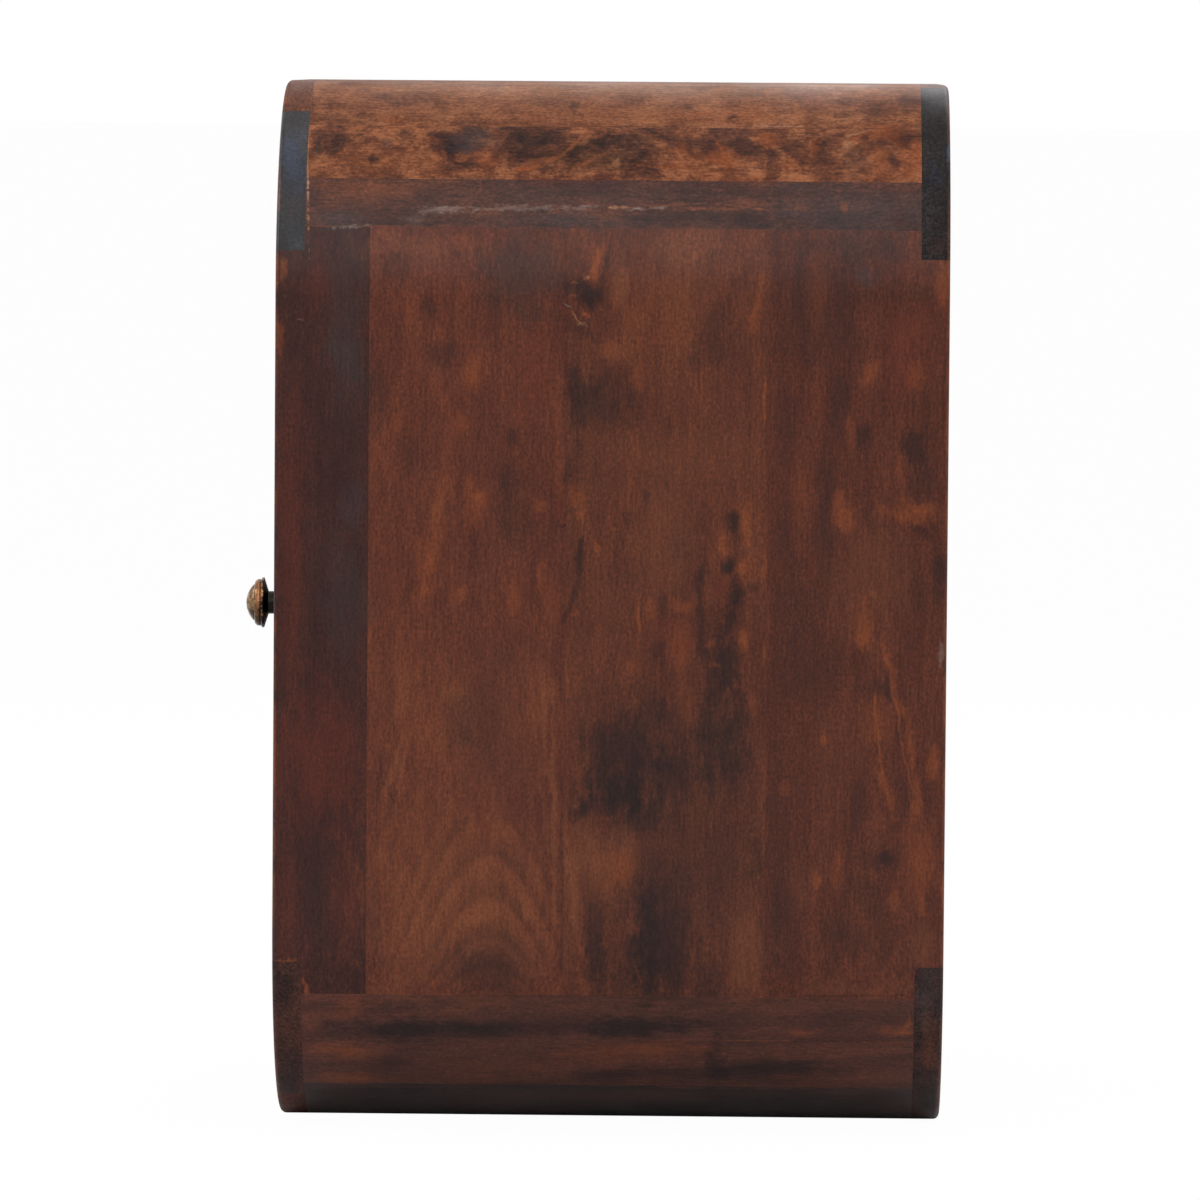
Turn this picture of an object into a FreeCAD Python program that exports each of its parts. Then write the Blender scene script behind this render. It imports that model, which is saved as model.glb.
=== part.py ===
"""A bedside cabinet of stained hardwood with one door, standing on the floor.

Seen from the front the carcass is a rounded rectangle. Its sides are glued up from upright boards, and
each corner is coopered from staves that run from front to back. Short end-grain blocks and long rails close
the carcass at its front and back edges. The door is inset, with corners that follow the opening, and it
hangs on two butt hinges at its left edge. A small stepped knob sits near its right edge, and a magnetic
catch holds it closed.

Millimetres. +Z is up and the front looks along -Y. The origin is the middle of the flat base, on the floor.
"""

import FreeCAD, Part
import math
import os

import Sketcher

# Named sizes. Lengths are in millimetres, and names that end in angle are in degrees.
SIZES = (
    # carcass
    ("cabinet_width", "400", "outside, left to right"),
    ("cabinet_depth", "350", "outside, front to back, without the knob"),
    ("cabinet_height", "550", "outside, floor to top"),
    ("corner_radius", "110", "outside radius of the four long corners"),
    ("wall_thickness", "18", "boards, staves, blocks and rails, across the wall"),
    ("edge_round", "3", "round along the outer front and back edges"),
    ("end_block_thickness", "15", "corner blocks and rails, front to back"),
    ("front_top_block_low_angle", "11.6", "an upper front corner block starts, above the straight side"),
    ("back_top_block_low_angle", "10.3", "an upper back corner block starts"),
    ("bottom_block_low_angle", "9.7", "a lower corner block starts, below the straight side"),
    ("front_rail_turn_angle", "31.4", "how far the front rails turn down into the corners"),
    ("back_rail_turn_angle", "9.9", "how far the back rails turn down into the corners"),
    ("top_seam_low_angle", "18.4", "side boards end and the first top stave starts"),
    ("top_seam_mid_angle", "32.7", "first and second top staves meet"),
    ("top_seam_high_angle", "52", "second and third top staves meet"),
    ("bottom_seam_low_angle", "18.9", "side boards end and the first bottom stave starts"),
    ("bottom_seam_mid_angle", "33.1", "first and second bottom staves meet"),
    ("bottom_seam_high_angle", "51.9", "second and third bottom staves meet"),
    ("side_board_1_width", "49", "front board of each side"),
    ("side_board_2_width", "103", "second board"),
    ("side_board_3_width", "104.5", "third board; the fourth takes what is left"),
    ("top_board_seam", "14", "seam of the two top boards, right of the middle"),
    ("bottom_board_seam", "21", "seam of the two bottom boards, left of the middle"),
    # back panel and shelf
    ("back_panel_thickness", "10", "back panel"),
    ("back_panel_recess", "2", "back panel, in from the back edges"),
    ("panel_fit", "0.3", "clearance round the back panel and the shelf"),
    ("shelf_thickness", "16", "shelf"),
    ("shelf_top_height", "270", "top of the shelf above the floor"),
    ("shelf_setback", "30", "front edge of the shelf, behind the front of the cabinet"),
    ("shelf_edge_round", "3", "round along the shelf's front edge"),
    ("cleat_height", "20", "cleats under the shelf"),
    ("cleat_thickness", "12", "cleats, out from the side"),
    ("cleat_setback", "25", "front of a cleat, behind the shelf's front edge"),
    # door
    ("door_gap", "2", "gap round the door"),
    ("door_recess", "2", "door face, behind the front of the cabinet"),
    ("door_thickness", "18", "door boards"),
    ("door_edge_round", "2", "round along the door's front edge"),
    ("door_board_width", "118", "middle board of the door"),
    ("batten_length", "280", "battens across the back of the door"),
    ("batten_width", "40", "battens, up and down"),
    ("batten_thickness", "12", "battens, out from the door"),
    ("batten_bevel", "8", "slope of a batten's ends"),
    ("batten_inset", "20", "middle of a batten, in from where the straight side ends"),
    # knob
    ("knob_edge_distance", "46", "middle of the knob, in from the door's right edge"),
    ("knob_foot_flare", "0.6", "foot of the stem, past the stem"),
    ("knob_foot_height", "1", "foot of the stem"),
    ("knob_stem_radius", "6", "stem"),
    ("knob_stem_height", "8.3", "door to the rim's sloping underside"),
    ("knob_rim_radius", "13.2", "rim"),
    ("knob_underside_height", "2.3", "sloping underside of the rim"),
    ("knob_rim_height", "0.9", "straight edge of the rim"),
    ("knob_rim_slope_height", "0.7", "slope from the rim's edge to the bead"),
    ("knob_rim_slope_width", "1", "slope from the rim's edge to the bead"),
    ("knob_bead_height", "3.4", "bead"),
    ("knob_bead_width", "2.8", "bead"),
    ("knob_groove_height", "0.6", "groove between bead and dome"),
    ("knob_dome_height", "3.8", "dome"),
    ("knob_bore_depth", "8", "threaded bore in the stem"),
    ("knob_screw_radius", "2", "machine screw through the door"),
    ("knob_screw_grip", "6", "length of the screw inside the knob"),
    ("knob_screw_head_radius", "3.8", "its head"),
    ("knob_screw_head_height", "2.4", "its head"),
    ("knob_hole_clearance", "0.3", "round the screw in the door"),
    # hinges
    ("hinge_length", "50", "along the pin"),
    ("hinge_inset", "40", "middle of a hinge, in from where the straight side ends"),
    ("hinge_leaf_width", "20", "pin to the far edge of a leaf"),
    ("hinge_leaf_thickness", "1.5", "leaf"),
    ("hinge_leaf_gap", "0.5", "between the leaves of a closed hinge"),
    ("hinge_barrel_radius", "3", "knuckles"),
    ("hinge_pin_radius", "1.5", "pin"),
    ("hinge_pin_fit", "0.05", "clearance of the pin in the knuckles"),
    ("hinge_knuckle_gap", "0.3", "between neighbouring knuckles"),
    ("hinge_notch_clearance", "0.5", "a leaf's cut-outs, round the other leaf's knuckles"),
    ("hinge_tip_radius", "2.3", "button tips of the pin"),
    ("hinge_tip_height", "1.8", "button tips of the pin"),
    ("mortise_fit", "0.2", "a hinge mortise, round its leaf"),
    ("hinge_screw_radius", "1.5", "hinge screws"),
    ("hinge_screw_length", "12", "hinge screws"),
    ("hinge_screw_land", "0.2", "straight stretch of a countersunk hole, under the head"),
    ("hinge_screw_end_distance", "8", "outer screws, in from a leaf's ends"),
    ("hinge_screw_far_distance", "5", "middle screw, in from a leaf's far edge"),
    ("hinge_screw_stagger", "4", "outer screws, nearer to the pin than the middle one"),
    ("screw_fit", "0.05", "clearance of a screw in its hole"),
    ("slot_width", "0.8", "slots in the screw heads"),
    ("slot_depth", "0.5", "slots in the screw heads"),
    # magnetic catch
    ("catch_rise", "34", "middle of the catch above the shelf"),
    ("catch_length", "46", "flange to flange, upright"),
    ("catch_block_length", "28", "housing of the magnet, upright"),
    ("catch_reach", "14", "out from the side wall"),
    ("catch_depth", "14", "front to back"),
    ("catch_flange_thickness", "3", "flanges"),
    ("catch_wall", "2", "walls of the housing round the magnet"),
    ("pole_thickness", "1.5", "steel plates at each side of the magnet"),
    ("pole_proud", "1", "plates, out of the housing"),
    ("magnet_fit", "0.1", "clearance of the magnet and plates in the housing"),
    ("catch_screw_radius", "1.4", "screws of the catch and the strike plate"),
    ("catch_screw_length", "13", "screws of the catch"),
    ("catch_screw_head_radius", "2.6", "their heads"),
    ("catch_screw_head_height", "1.6", "their heads"),
    ("strike_gap", "0.3", "closed door, strike plate to poles"),
    ("strike_length", "38", "strike plate, upright"),
    ("strike_width", "11", "strike plate"),
    ("strike_thickness", "1.2", "strike plate"),
    ("strike_screw_length", "10", "screw of the strike plate"),
    # one overrun serves every cut
    ("cut_overrun", "2", "how far a cutting shape runs past a face"),
    ("cut_overrun_angle", "4", "how far a cutting sector runs past a seam"),
)

MATCH = 1e-4  # two points closer than this are the same point
RIGHT_ANGLE = "90"

doc = FreeCAD.newDocument("nightstand")
sheet = doc.addObject("Spreadsheet::Sheet", "sizes")
for row, (alias, number, what) in enumerate(SIZES, start=1):
    sheet.set(f"A{row}", alias)
    sheet.set(f"B{row}", number)
    sheet.set(f"C{row}", what)
    sheet.setAlias(f"B{row}", alias)
doc.recompute()

# Formulas that several pieces share, written in the named sizes.
HALF_SPAN = "(sizes.cabinet_width / 2 - sizes.corner_radius)"  # middle to a corner's centre, sideways
ARC_SPAN = "(sizes.cabinet_height - 2 * sizes.corner_radius)"  # lower to upper corner centre
OUTER = "sizes.corner_radius"
INNER = "(sizes.corner_radius - sizes.wall_thickness)"
FRONT = "(-sizes.cabinet_depth / 2)"
BACK = "(sizes.cabinet_depth / 2)"
INSIDE_HALF = "(sizes.cabinet_width / 2 - sizes.wall_thickness)"
MID_HEIGHT = "(sizes.cabinet_height / 2)"
DOOR_FACE = f"({FRONT} + sizes.door_recess)"
DOOR_BACK = f"({DOOR_FACE} + sizes.door_thickness)"
DOOR_HALF_WIDTH = f"({INSIDE_HALF} - sizes.door_gap)"
DOOR_RADIUS = f"({INNER} - sizes.door_gap)"
PANEL_FRONT = f"({BACK} - sizes.back_panel_recess - sizes.back_panel_thickness)"
SHELF_FRONT = f"({FRONT} + sizes.shelf_setback)"
KNOB_X = f"({DOOR_HALF_WIDTH} - sizes.knob_edge_distance)"
HINGE_X = f"(-{INSIDE_HALF} + sizes.door_gap / 2)"
HINGE_Y = f"({FRONT} - sizes.hinge_barrel_radius)"
MORTISE_DEPTH = "(sizes.hinge_leaf_thickness + sizes.hinge_leaf_gap / 2 - sizes.door_gap / 2)"
HINGE_HEAD_RADIUS = "(sizes.hinge_screw_radius + sizes.hinge_leaf_thickness - sizes.hinge_screw_land)"
SCREW_SPREAD = "(sizes.hinge_length / 2 - sizes.hinge_screw_end_distance)"
CATCH_Z = "(sizes.shelf_top_height + sizes.catch_rise)"
STRIKE_BACK = f"({DOOR_BACK} + sizes.strike_thickness)"
CATCH_FRONT = f"({STRIKE_BACK} + sizes.strike_gap + sizes.pole_proud)"
CATCH_Y = f"({CATCH_FRONT} + sizes.catch_depth / 2)"
CATCH_X = f"({INSIDE_HALF} - sizes.catch_reach / 2)"
STRIKE_X = f"({CATCH_X} - sizes.catch_flange_thickness / 2)"  # in line with the magnet

SIDES = {"right": 1, "left": -1}
LEVELS = {"top": 1, "bottom": -1}
HINGES = {"lower": -1, "upper": 1}
ENDS = {"front": 1, "back": -1}  # which way a piece grows from its own edge, along Y

parts = {}
known = {}
workings = doc.addObject("Spreadsheet::Sheet", "workings")


def value(formula):
    """What a formula in the named sizes comes to. A cell of a second sheet does the sum."""
    if formula not in known:
        workings.set("A1", f"={formula}")
        workings.recompute()
        known[formula] = float(workings.get("A1"))
    return known[formula]


def keep(piece):
    """Lists a finished object as a sub-part of the cabinet."""
    parts[piece.Label] = piece
    return piece


def bind(thing, **formulas):
    """Ties properties of an object to the named sizes."""
    for name, formula in formulas.items():
        setattr(thing, name, value(formula))
        thing.setExpression(name, formula)


def place(thing, x="0", y="0", z="0", axis=None, turn=0):
    """Puts an object where three formulas say, turned about an axis by a whole number of degrees."""
    turned = FreeCAD.Rotation(FreeCAD.Vector(*axis), turn) if axis else FreeCAD.Rotation()
    thing.Placement = FreeCAD.Placement(FreeCAD.Vector(value(x), value(y), value(z)), turned)
    for letter, formula in zip("xyz", (x, y, z)):
        if formula != "0":
            thing.setExpression(f"Placement.Base.{letter}", formula)
    return thing


def new_body(name):
    body = doc.addObject("PartDesign::Body", name)
    body.Label = name
    return body


def arc_to(radius, centre_x, centre_y, turn):
    """An edge of an outline that is an arc. turn is 1 for anticlockwise and -1 for clockwise."""
    return {"radius": radius, "centre": (centre_x, centre_y), "turn": turn}


def draw(body, corners, plane="XZ_Plane"):
    """A closed, fully dimensioned sketch. corners holds (x, y, edge to the next corner), as formulas.

    An edge is None for a straight line, or what arc_to gives.
    """
    sketch = body.newObject("Sketcher::SketchObject", f"{body.Name}_outline")
    support = next(f for f in body.Origin.OriginFeatures if f.Role == plane)
    sketch.AttachmentSupport = [(support, "")]
    sketch.MapMode = "FlatFace"
    points = [FreeCAD.Vector(value(x), value(y), 0) for x, y, _ in corners]
    ends = []  # for each edge, which of its ends lies at its first corner
    for i, (_, _, edge) in enumerate(corners):
        here, there = points[i], points[(i + 1) % len(points)]
        if edge is None:
            sketch.addGeometry(Part.LineSegment(here, there), False)
            ends.append(1)
            continue
        centre = FreeCAD.Vector(*map(value, edge["centre"]), 0)
        first, last = (here, there) if edge["turn"] > 0 else (there, here)
        circle = Part.Circle(centre, FreeCAD.Vector(0, 0, 1), value(edge["radius"]))
        angles = [math.atan2(p.y - centre.y, p.x - centre.x) for p in (first, last)]
        sketch.addGeometry(Part.ArcOfCircle(circle, *angles), False)
        ends.append(1 if edge["turn"] > 0 else 2)
    for i, (x, y, edge) in enumerate(corners):
        before = i - 1 if i else len(corners) - 1
        sketch.addConstraint(Sketcher.Constraint("Coincident", before, 3 - ends[before], i, ends[i]))
        for axis, direction, formula in ((-2, "DistanceX", x), (-1, "DistanceY", y)):
            if formula == "0":
                sketch.addConstraint(Sketcher.Constraint("PointOnObject", i, ends[i], axis))
            else:
                dimension(sketch, formula, direction, -1, 1, i, ends[i])
        if edge is not None:
            dimension(sketch, edge["radius"], "Radius", i)
    return sketch


def dimension(sketch, formula, kind, *where):
    """Adds one dimension to a sketch and ties it to the named sizes."""
    number = sketch.addConstraint(Sketcher.Constraint(kind, *where, value(formula)))
    label = f"size_{number}"
    sketch.renameConstraint(number, label)
    sketch.setExpression(f"Constraints.{label}", formula)


def pad(body, sketch, length, reverse=False):
    feature = body.newObject("PartDesign::Pad", f"{body.Name}_pad")
    feature.Profile = sketch
    feature.Reversed = reverse
    bind(feature, Length=length)
    return feature


def pocket(body, sketch, length, reverse):
    """Cuts an outline into a body, and makes sure that it took something away."""
    doc.recompute()
    before = body.Shape.Volume
    feature = body.newObject("PartDesign::Pocket", f"{body.Name}_pocket")
    feature.Profile = sketch
    feature.Reversed = reverse
    bind(feature, Length=length)
    doc.recompute()
    if body.Shape.Volume >= before:
        raise ValueError(f"{feature.Name} cut nothing")
    return feature


def lathe(body, corners):
    """Turns an outline of (radius, height) about the body's own Z axis."""
    sketch = draw(body, corners)
    feature = body.newObject("PartDesign::Revolution", f"{body.Name}_turning")
    feature.Profile = sketch
    feature.ReferenceAxis = (sketch, ["V_Axis"])
    feature.Angle = 360
    doc.recompute()
    return feature


def block(body, kind, centre, spans):
    """A box added to a body or cut from it, given its centre and its three lengths as formulas."""
    feature = body.newObject(f"PartDesign::{kind}Box", f"{body.Name}_box")
    bind(feature, Length=spans[0], Width=spans[1], Height=spans[2])
    place(feature, *(f"{c} - {s} / 2" for c, s in zip(centre, spans)))
    return feature


AXIS_TURNS = {"x": ((0, 1, 0), 90), "y": ((1, 0, 0), -90), "-x": ((0, 1, 0), -90), "-y": ((1, 0, 0), 90)}


def rod(body, kind, start, along, radius, length):
    """A cylinder added to a body or cut from it, from start along an axis."""
    feature = body.newObject(f"PartDesign::{kind}Cylinder", f"{body.Name}_rod")
    bind(feature, Radius=radius, Height=length)
    axis, turn = AXIS_TURNS.get(along, (None, 0))
    place(feature, *start, axis=axis, turn=turn)
    return feature


def round_front(body, outline_radius, centre, size_of_round):
    """Rounds the edges of a body that lie on a rounded rectangle in its own plane y = 0."""
    doc.recompute()
    base = body.Tip

    def on_outline(point):
        across = max(0, abs(point.x - value(centre[0])) - value(HALF_SPAN))
        up = max(0, abs(point.z - value(centre[1])) - value(ARC_SPAN) / 2)
        return abs(point.y) < MATCH and abs(math.hypot(across, up) - value(outline_radius)) < MATCH

    names = []
    for number, edge in enumerate(base.Shape.Edges, start=1):
        middle = edge.valueAt((edge.FirstParameter + edge.LastParameter) / 2)
        if all(map(on_outline, [middle] + [v.Point for v in edge.Vertexes])):
            names.append(f"Edge{number}")
    feature = body.newObject("PartDesign::Fillet", f"{body.Name}_round")
    feature.Base = (base, names)
    bind(feature, Radius=size_of_round)
    doc.recompute()
    return feature


def round_carcass_edge(body, centre_x, centre_z):
    """Rounds a carcass piece along the outside. The centre is the cabinet's, as the body sees it."""
    return round_front(body, OUTER, (centre_x, centre_z), "sizes.edge_round")


def polar(sign_x, sign_z, radius, angle, lift="0"):
    """A point of a corner, from the corner's centre lifted by lift."""
    x = "0" if angle == RIGHT_ANGLE else f"{sign_x} * {radius} * cos({angle})"
    z = f"{sign_z} * {radius} * sin({angle})"
    return x, z if lift == "0" else f"{z} + {lift}"


def sector(body, side, level, outer, inner, start, end, lift="0"):
    """The outline of a piece of a coopered corner, between two angles above or below the horizontal."""
    turn = side * level
    corners = (
        (*polar(side, level, outer, start, lift), arc_to(outer, "0", lift, turn)),
        (*polar(side, level, outer, end, lift), None),
        (*polar(side, level, inner, end, lift), arc_to(inner, "0", lift, -turn)),
        (*polar(side, level, inner, start, lift), None),
    )
    return draw(body, corners)


def corner_centre_height(level):
    """Height of the centre of the upper or the lower corners above the floor."""
    return f"(sizes.cabinet_height - {OUTER})" if level > 0 else OUTER


def side_board_outline(body, side):
    """A side board seen from the front. The body's origin is the centre of its lower corner."""
    low, high = "sizes.bottom_seam_low_angle", "sizes.top_seam_low_angle"
    return draw(
        body,
        (
            (*polar(side, -1, OUTER, low), arc_to(OUTER, "0", "0", side)),
            (f"{side} * {OUTER}", "0", None),
            (f"{side} * {OUTER}", ARC_SPAN, arc_to(OUTER, "0", ARC_SPAN, side)),
            (*polar(side, 1, OUTER, high, ARC_SPAN), None),
            (*polar(side, 1, INNER, high, ARC_SPAN), arc_to(INNER, "0", ARC_SPAN, -side)),
            (f"{side} * {INNER}", ARC_SPAN, None),
            (f"{side} * {INNER}", "0", arc_to(INNER, "0", "0", -side)),
            (*polar(side, -1, INNER, low), None),
        ),
    )


def block_start_angle(end, level_name):
    """Where a corner block starts, above or below the straight side."""
    corner = "bottom" if level_name == "bottom" else f"{end}_top"
    return f"sizes.{corner}_block_low_angle"


def cut_block_notches(body, side, end):
    """Takes the seats of the two corner blocks out of a board that reaches the front or the back edge."""
    grows = ENDS[end]
    for level_name, level in LEVELS.items():
        sketch = sector(
            body,
            side,
            level,
            f"({OUTER} + sizes.cut_overrun)",
            f"({INNER} - sizes.cut_overrun)",
            block_start_angle(end, level_name),
            f"(sizes.{level_name}_seam_low_angle + sizes.cut_overrun_angle)",
            ARC_SPAN if level > 0 else "0",
        )
        pocket(body, sketch, "sizes.end_block_thickness", reverse=grows < 0)


def cut_hinge_seats(body, wall, away, front, floor):
    """Cuts the two hinge mortises and their pilot holes.

    wall is the face that the leaves lie against, and away is 1 or -1, the side of it that the wood is on.
    The body's own origin is front behind the middle of the room and floor above the ground.
    """
    radius = "(sizes.hinge_screw_radius + sizes.screw_fit)"
    length = "(sizes.hinge_length + 2 * sizes.mortise_fit)"
    depth = f"({MORTISE_DEPTH} + sizes.cut_overrun)"
    width = "(2 * (sizes.hinge_leaf_width + sizes.mortise_fit))"
    face = f"({wall} + {away} * ({MORTISE_DEPTH} - sizes.cut_overrun) / 2)"
    pin_y = f"({HINGE_Y} - {front})"
    for sign in HINGES.values():
        middle = f"({hinge_height(sign)} - {floor})"
        block(body, "Subtractive", (face, pin_y, middle), (depth, width, length))
        for step in (-1, 0, 1):
            start = (wall, f"{pin_y} + {screw_set(step)}", f"{middle} + {step} * {SCREW_SPREAD}")
            rod(body, "Subtractive", start, "x" if away > 0 else "-x", radius, "sizes.hinge_screw_length")


def hinge_height(sign):
    """Height of the middle of the lower or upper hinge."""
    return f"({MID_HEIGHT} + {sign} * ({ARC_SPAN} / 2 - sizes.hinge_inset))"


def screw_set(step):
    """Distance of a hinge screw from the pin. The middle one, step 0, stands further out."""
    stagger = "" if step == 0 else " - sizes.hinge_screw_stagger"
    return f"(sizes.hinge_leaf_width - sizes.hinge_screw_far_distance{stagger})"


def catch_screw_height(sign):
    """Height of one of the catch's two screws, in the middle of a flange."""
    return f"({CATCH_Z} + {sign} * (sizes.catch_length + sizes.catch_block_length) / 4)"


# Carcass: side boards

FRONT_BOARD_WIDTHS = tuple(f"sizes.side_board_{number}_width" for number in (1, 2, 3))
SIDE_BOARD_WIDTHS = (*FRONT_BOARD_WIDTHS, f"(sizes.cabinet_depth - {' - '.join(FRONT_BOARD_WIDTHS)})")


def make_side_board(side_name, number):
    """One upright board of a side. The first is at the front, and the last is built from the back edge."""
    side = SIDES[side_name]
    body = new_body(f"{side_name}_side_board_{number}")
    last = number == len(SIDE_BOARD_WIDTHS)
    start = BACK if last else " + ".join((FRONT,) + SIDE_BOARD_WIDTHS[: number - 1])
    pad(body, side_board_outline(body, side), SIDE_BOARD_WIDTHS[number - 1], reverse=not last)
    if number == 1 or last:
        cut_block_notches(body, side, "back" if last else "front")
        round_carcass_edge(body, f"-{side} * {HALF_SPAN}", f"{ARC_SPAN} / 2")
    place(body, f"{side} * {HALF_SPAN}", start, OUTER)
    return keep(body)


for side_name in SIDES:
    for number in range(1, len(SIDE_BOARD_WIDTHS) + 1):
        make_side_board(side_name, number)


# Carcass: coopered corners, corner blocks and rails


def make_stave(level_name, side_name, number):
    """One stave of a corner, counted from the side board up or down to the flat top or bottom."""
    angles = [f"sizes.{level_name}_seam_{where}_angle" for where in ("low", "mid", "high")] + [RIGHT_ANGLE]
    body = new_body(f"{level_name}_{side_name}_stave_{number}")
    side, level = SIDES[side_name], LEVELS[level_name]
    sketch = sector(body, side, level, OUTER, INNER, angles[number - 1], angles[number])
    pad(body, sketch, "(sizes.cabinet_depth - 2 * sizes.end_block_thickness)", reverse=True)
    front = f"{FRONT} + sizes.end_block_thickness"
    place(body, f"{side} * {HALF_SPAN}", front, corner_centre_height(level))
    return keep(body)


def rail_start_angle(end):
    """Where a corner block ends and the rail starts."""
    return f"({RIGHT_ANGLE} - sizes.{end}_rail_turn_angle)"


def make_corner_block(end, level_name, side_name):
    """A block let into a corner at the front or back, with its end grain showing at the side."""
    body = new_body(f"{end}_{level_name}_{side_name}_block")
    side, level = SIDES[side_name], LEVELS[level_name]
    start = block_start_angle(end, level_name)
    sketch = sector(body, side, level, OUTER, INNER, start, rail_start_angle(end))
    pad(body, sketch, "sizes.end_block_thickness", reverse=ENDS[end] > 0)
    round_carcass_edge(body, f"-{side} * {HALF_SPAN}", f"-{level} * {ARC_SPAN} / 2")
    place(body, f"{side} * {HALF_SPAN}", FRONT if end == "front" else BACK, corner_centre_height(level))
    return keep(body)


def make_rail(end, level_name):
    """The rail across the top or bottom, whose ends turn down into the corners as far as the blocks."""
    body = new_body(f"{end}_{level_name}_rail")
    level = LEVELS[level_name]
    angle = rail_start_angle(end)
    corners = []
    for side, radius in ((1, OUTER), (-1, OUTER), (-1, INNER), (1, INNER)):
        centre_x = f"{side} * {HALF_SPAN}"
        x, z = polar(side, level, radius, angle)
        bend = (f"{centre_x} + {x}", z)
        flat = (centre_x, f"{level} * {radius}")
        turn = level if radius == OUTER else -level
        turned = arc_to(radius, centre_x, "0", turn)
        starts_at_bend = (side > 0) == (radius == OUTER)
        corners += [(*bend, turned), (*flat, None)] if starts_at_bend else [(*flat, turned), (*bend, None)]
    pad(body, draw(body, corners), "sizes.end_block_thickness", reverse=ENDS[end] > 0)
    round_carcass_edge(body, "0", f"-{level} * {ARC_SPAN} / 2")
    place(body, "0", FRONT if end == "front" else BACK, corner_centre_height(level))
    return keep(body)


def make_flat_board(level_name, number, seam):
    """One of the two boards of the flat top or bottom, which run from front to back."""
    board = doc.addObject("Part::Box", f"{level_name}_board_{number}")
    board.Label = board.Name
    left, right = (f"-{HALF_SPAN}", seam) if number == 1 else (seam, HALF_SPAN)
    depth = "sizes.cabinet_depth - 2 * sizes.end_block_thickness"
    bind(board, Length=f"{right} - ({left})", Width=depth, Height="sizes.wall_thickness")
    floor = "sizes.cabinet_height - sizes.wall_thickness" if LEVELS[level_name] > 0 else "0"
    place(board, left, f"{FRONT} + sizes.end_block_thickness", floor)
    return keep(board)


for level_name in LEVELS:
    for side_name in SIDES:
        for number in (1, 2, 3):
            make_stave(level_name, side_name, number)
        for end in ENDS:
            make_corner_block(end, level_name, side_name)
    for end in ENDS:
        make_rail(end, level_name)
for number in (1, 2):
    make_flat_board("top", number, "sizes.top_board_seam")
    make_flat_board("bottom", number, "-sizes.bottom_board_seam")


# Back panel, shelf and cleats


def rounded_rectangle(body, half_width, half_height, radius):
    """An outline with four round corners, about the body's origin."""
    inner_x, inner_z = f"({half_width} - {radius})", f"({half_height} - {radius})"
    corners = []
    for x, z in ((1, 1), (-1, 1), (-1, -1), (1, -1)):
        side_point = (f"{x} * {half_width}", f"{z} * {inner_z}")
        level_point = (f"{x} * {inner_x}", f"{z} * {half_height}")
        turned = arc_to(radius, f"{x} * {inner_x}", f"{z} * {inner_z}", 1)
        first, second = (side_point, level_point) if x * z > 0 else (level_point, side_point)
        corners += [(*first, turned), (*second, None)]
    return draw(body, corners)


def make_back_panel():
    body = new_body("back_panel")
    inside_half_height = f"({MID_HEIGHT} - sizes.wall_thickness - sizes.panel_fit)"
    inside_half_width = f"({INSIDE_HALF} - sizes.panel_fit)"
    sketch = rounded_rectangle(body, inside_half_width, inside_half_height, f"({INNER} - sizes.panel_fit)")
    pad(body, sketch, "sizes.back_panel_thickness", reverse=True)
    place(body, "0", PANEL_FRONT, MID_HEIGHT)
    return keep(body)


def make_shelf():
    body = new_body("shelf")
    width = f"(2 * ({INSIDE_HALF} - sizes.panel_fit))"
    depth = f"({PANEL_FRONT} - sizes.panel_fit - {SHELF_FRONT})"
    board = block(body, "Additive", ("0", f"({depth} / 2)", "0"), (width, depth, "sizes.shelf_thickness"))
    doc.recompute()
    names = []
    for number, edge in enumerate(board.Shape.Edges, start=1):
        level = all(abs(v.Point.y) < MATCH for v in edge.Vertexes)
        if level and abs(edge.Vertexes[0].Point.z - edge.Vertexes[1].Point.z) < MATCH:
            names.append(f"Edge{number}")
    rounding = body.newObject("PartDesign::Fillet", "shelf_round")
    rounding.Base = (board, names)
    bind(rounding, Radius="sizes.shelf_edge_round")
    place(body, "0", SHELF_FRONT, "sizes.shelf_top_height - sizes.shelf_thickness / 2")
    return keep(body)


def make_shelf_cleat(side_name):
    """The strip on a side wall that the shelf lies on."""
    cleat = doc.addObject("Part::Box", f"{side_name}_shelf_cleat")
    cleat.Label = cleat.Name
    front = f"({SHELF_FRONT} + sizes.cleat_setback)"
    length = f"{PANEL_FRONT} - sizes.panel_fit - {front}"
    bind(cleat, Length="sizes.cleat_thickness", Width=length, Height="sizes.cleat_height")
    left = f"{INSIDE_HALF} - sizes.cleat_thickness" if side_name == "right" else f"-{INSIDE_HALF}"
    place(cleat, left, front, "sizes.shelf_top_height - sizes.shelf_thickness - sizes.cleat_height")
    return keep(cleat)


make_back_panel()
make_shelf()
for side_name in SIDES:
    make_shelf_cleat(side_name)


# Door


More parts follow.
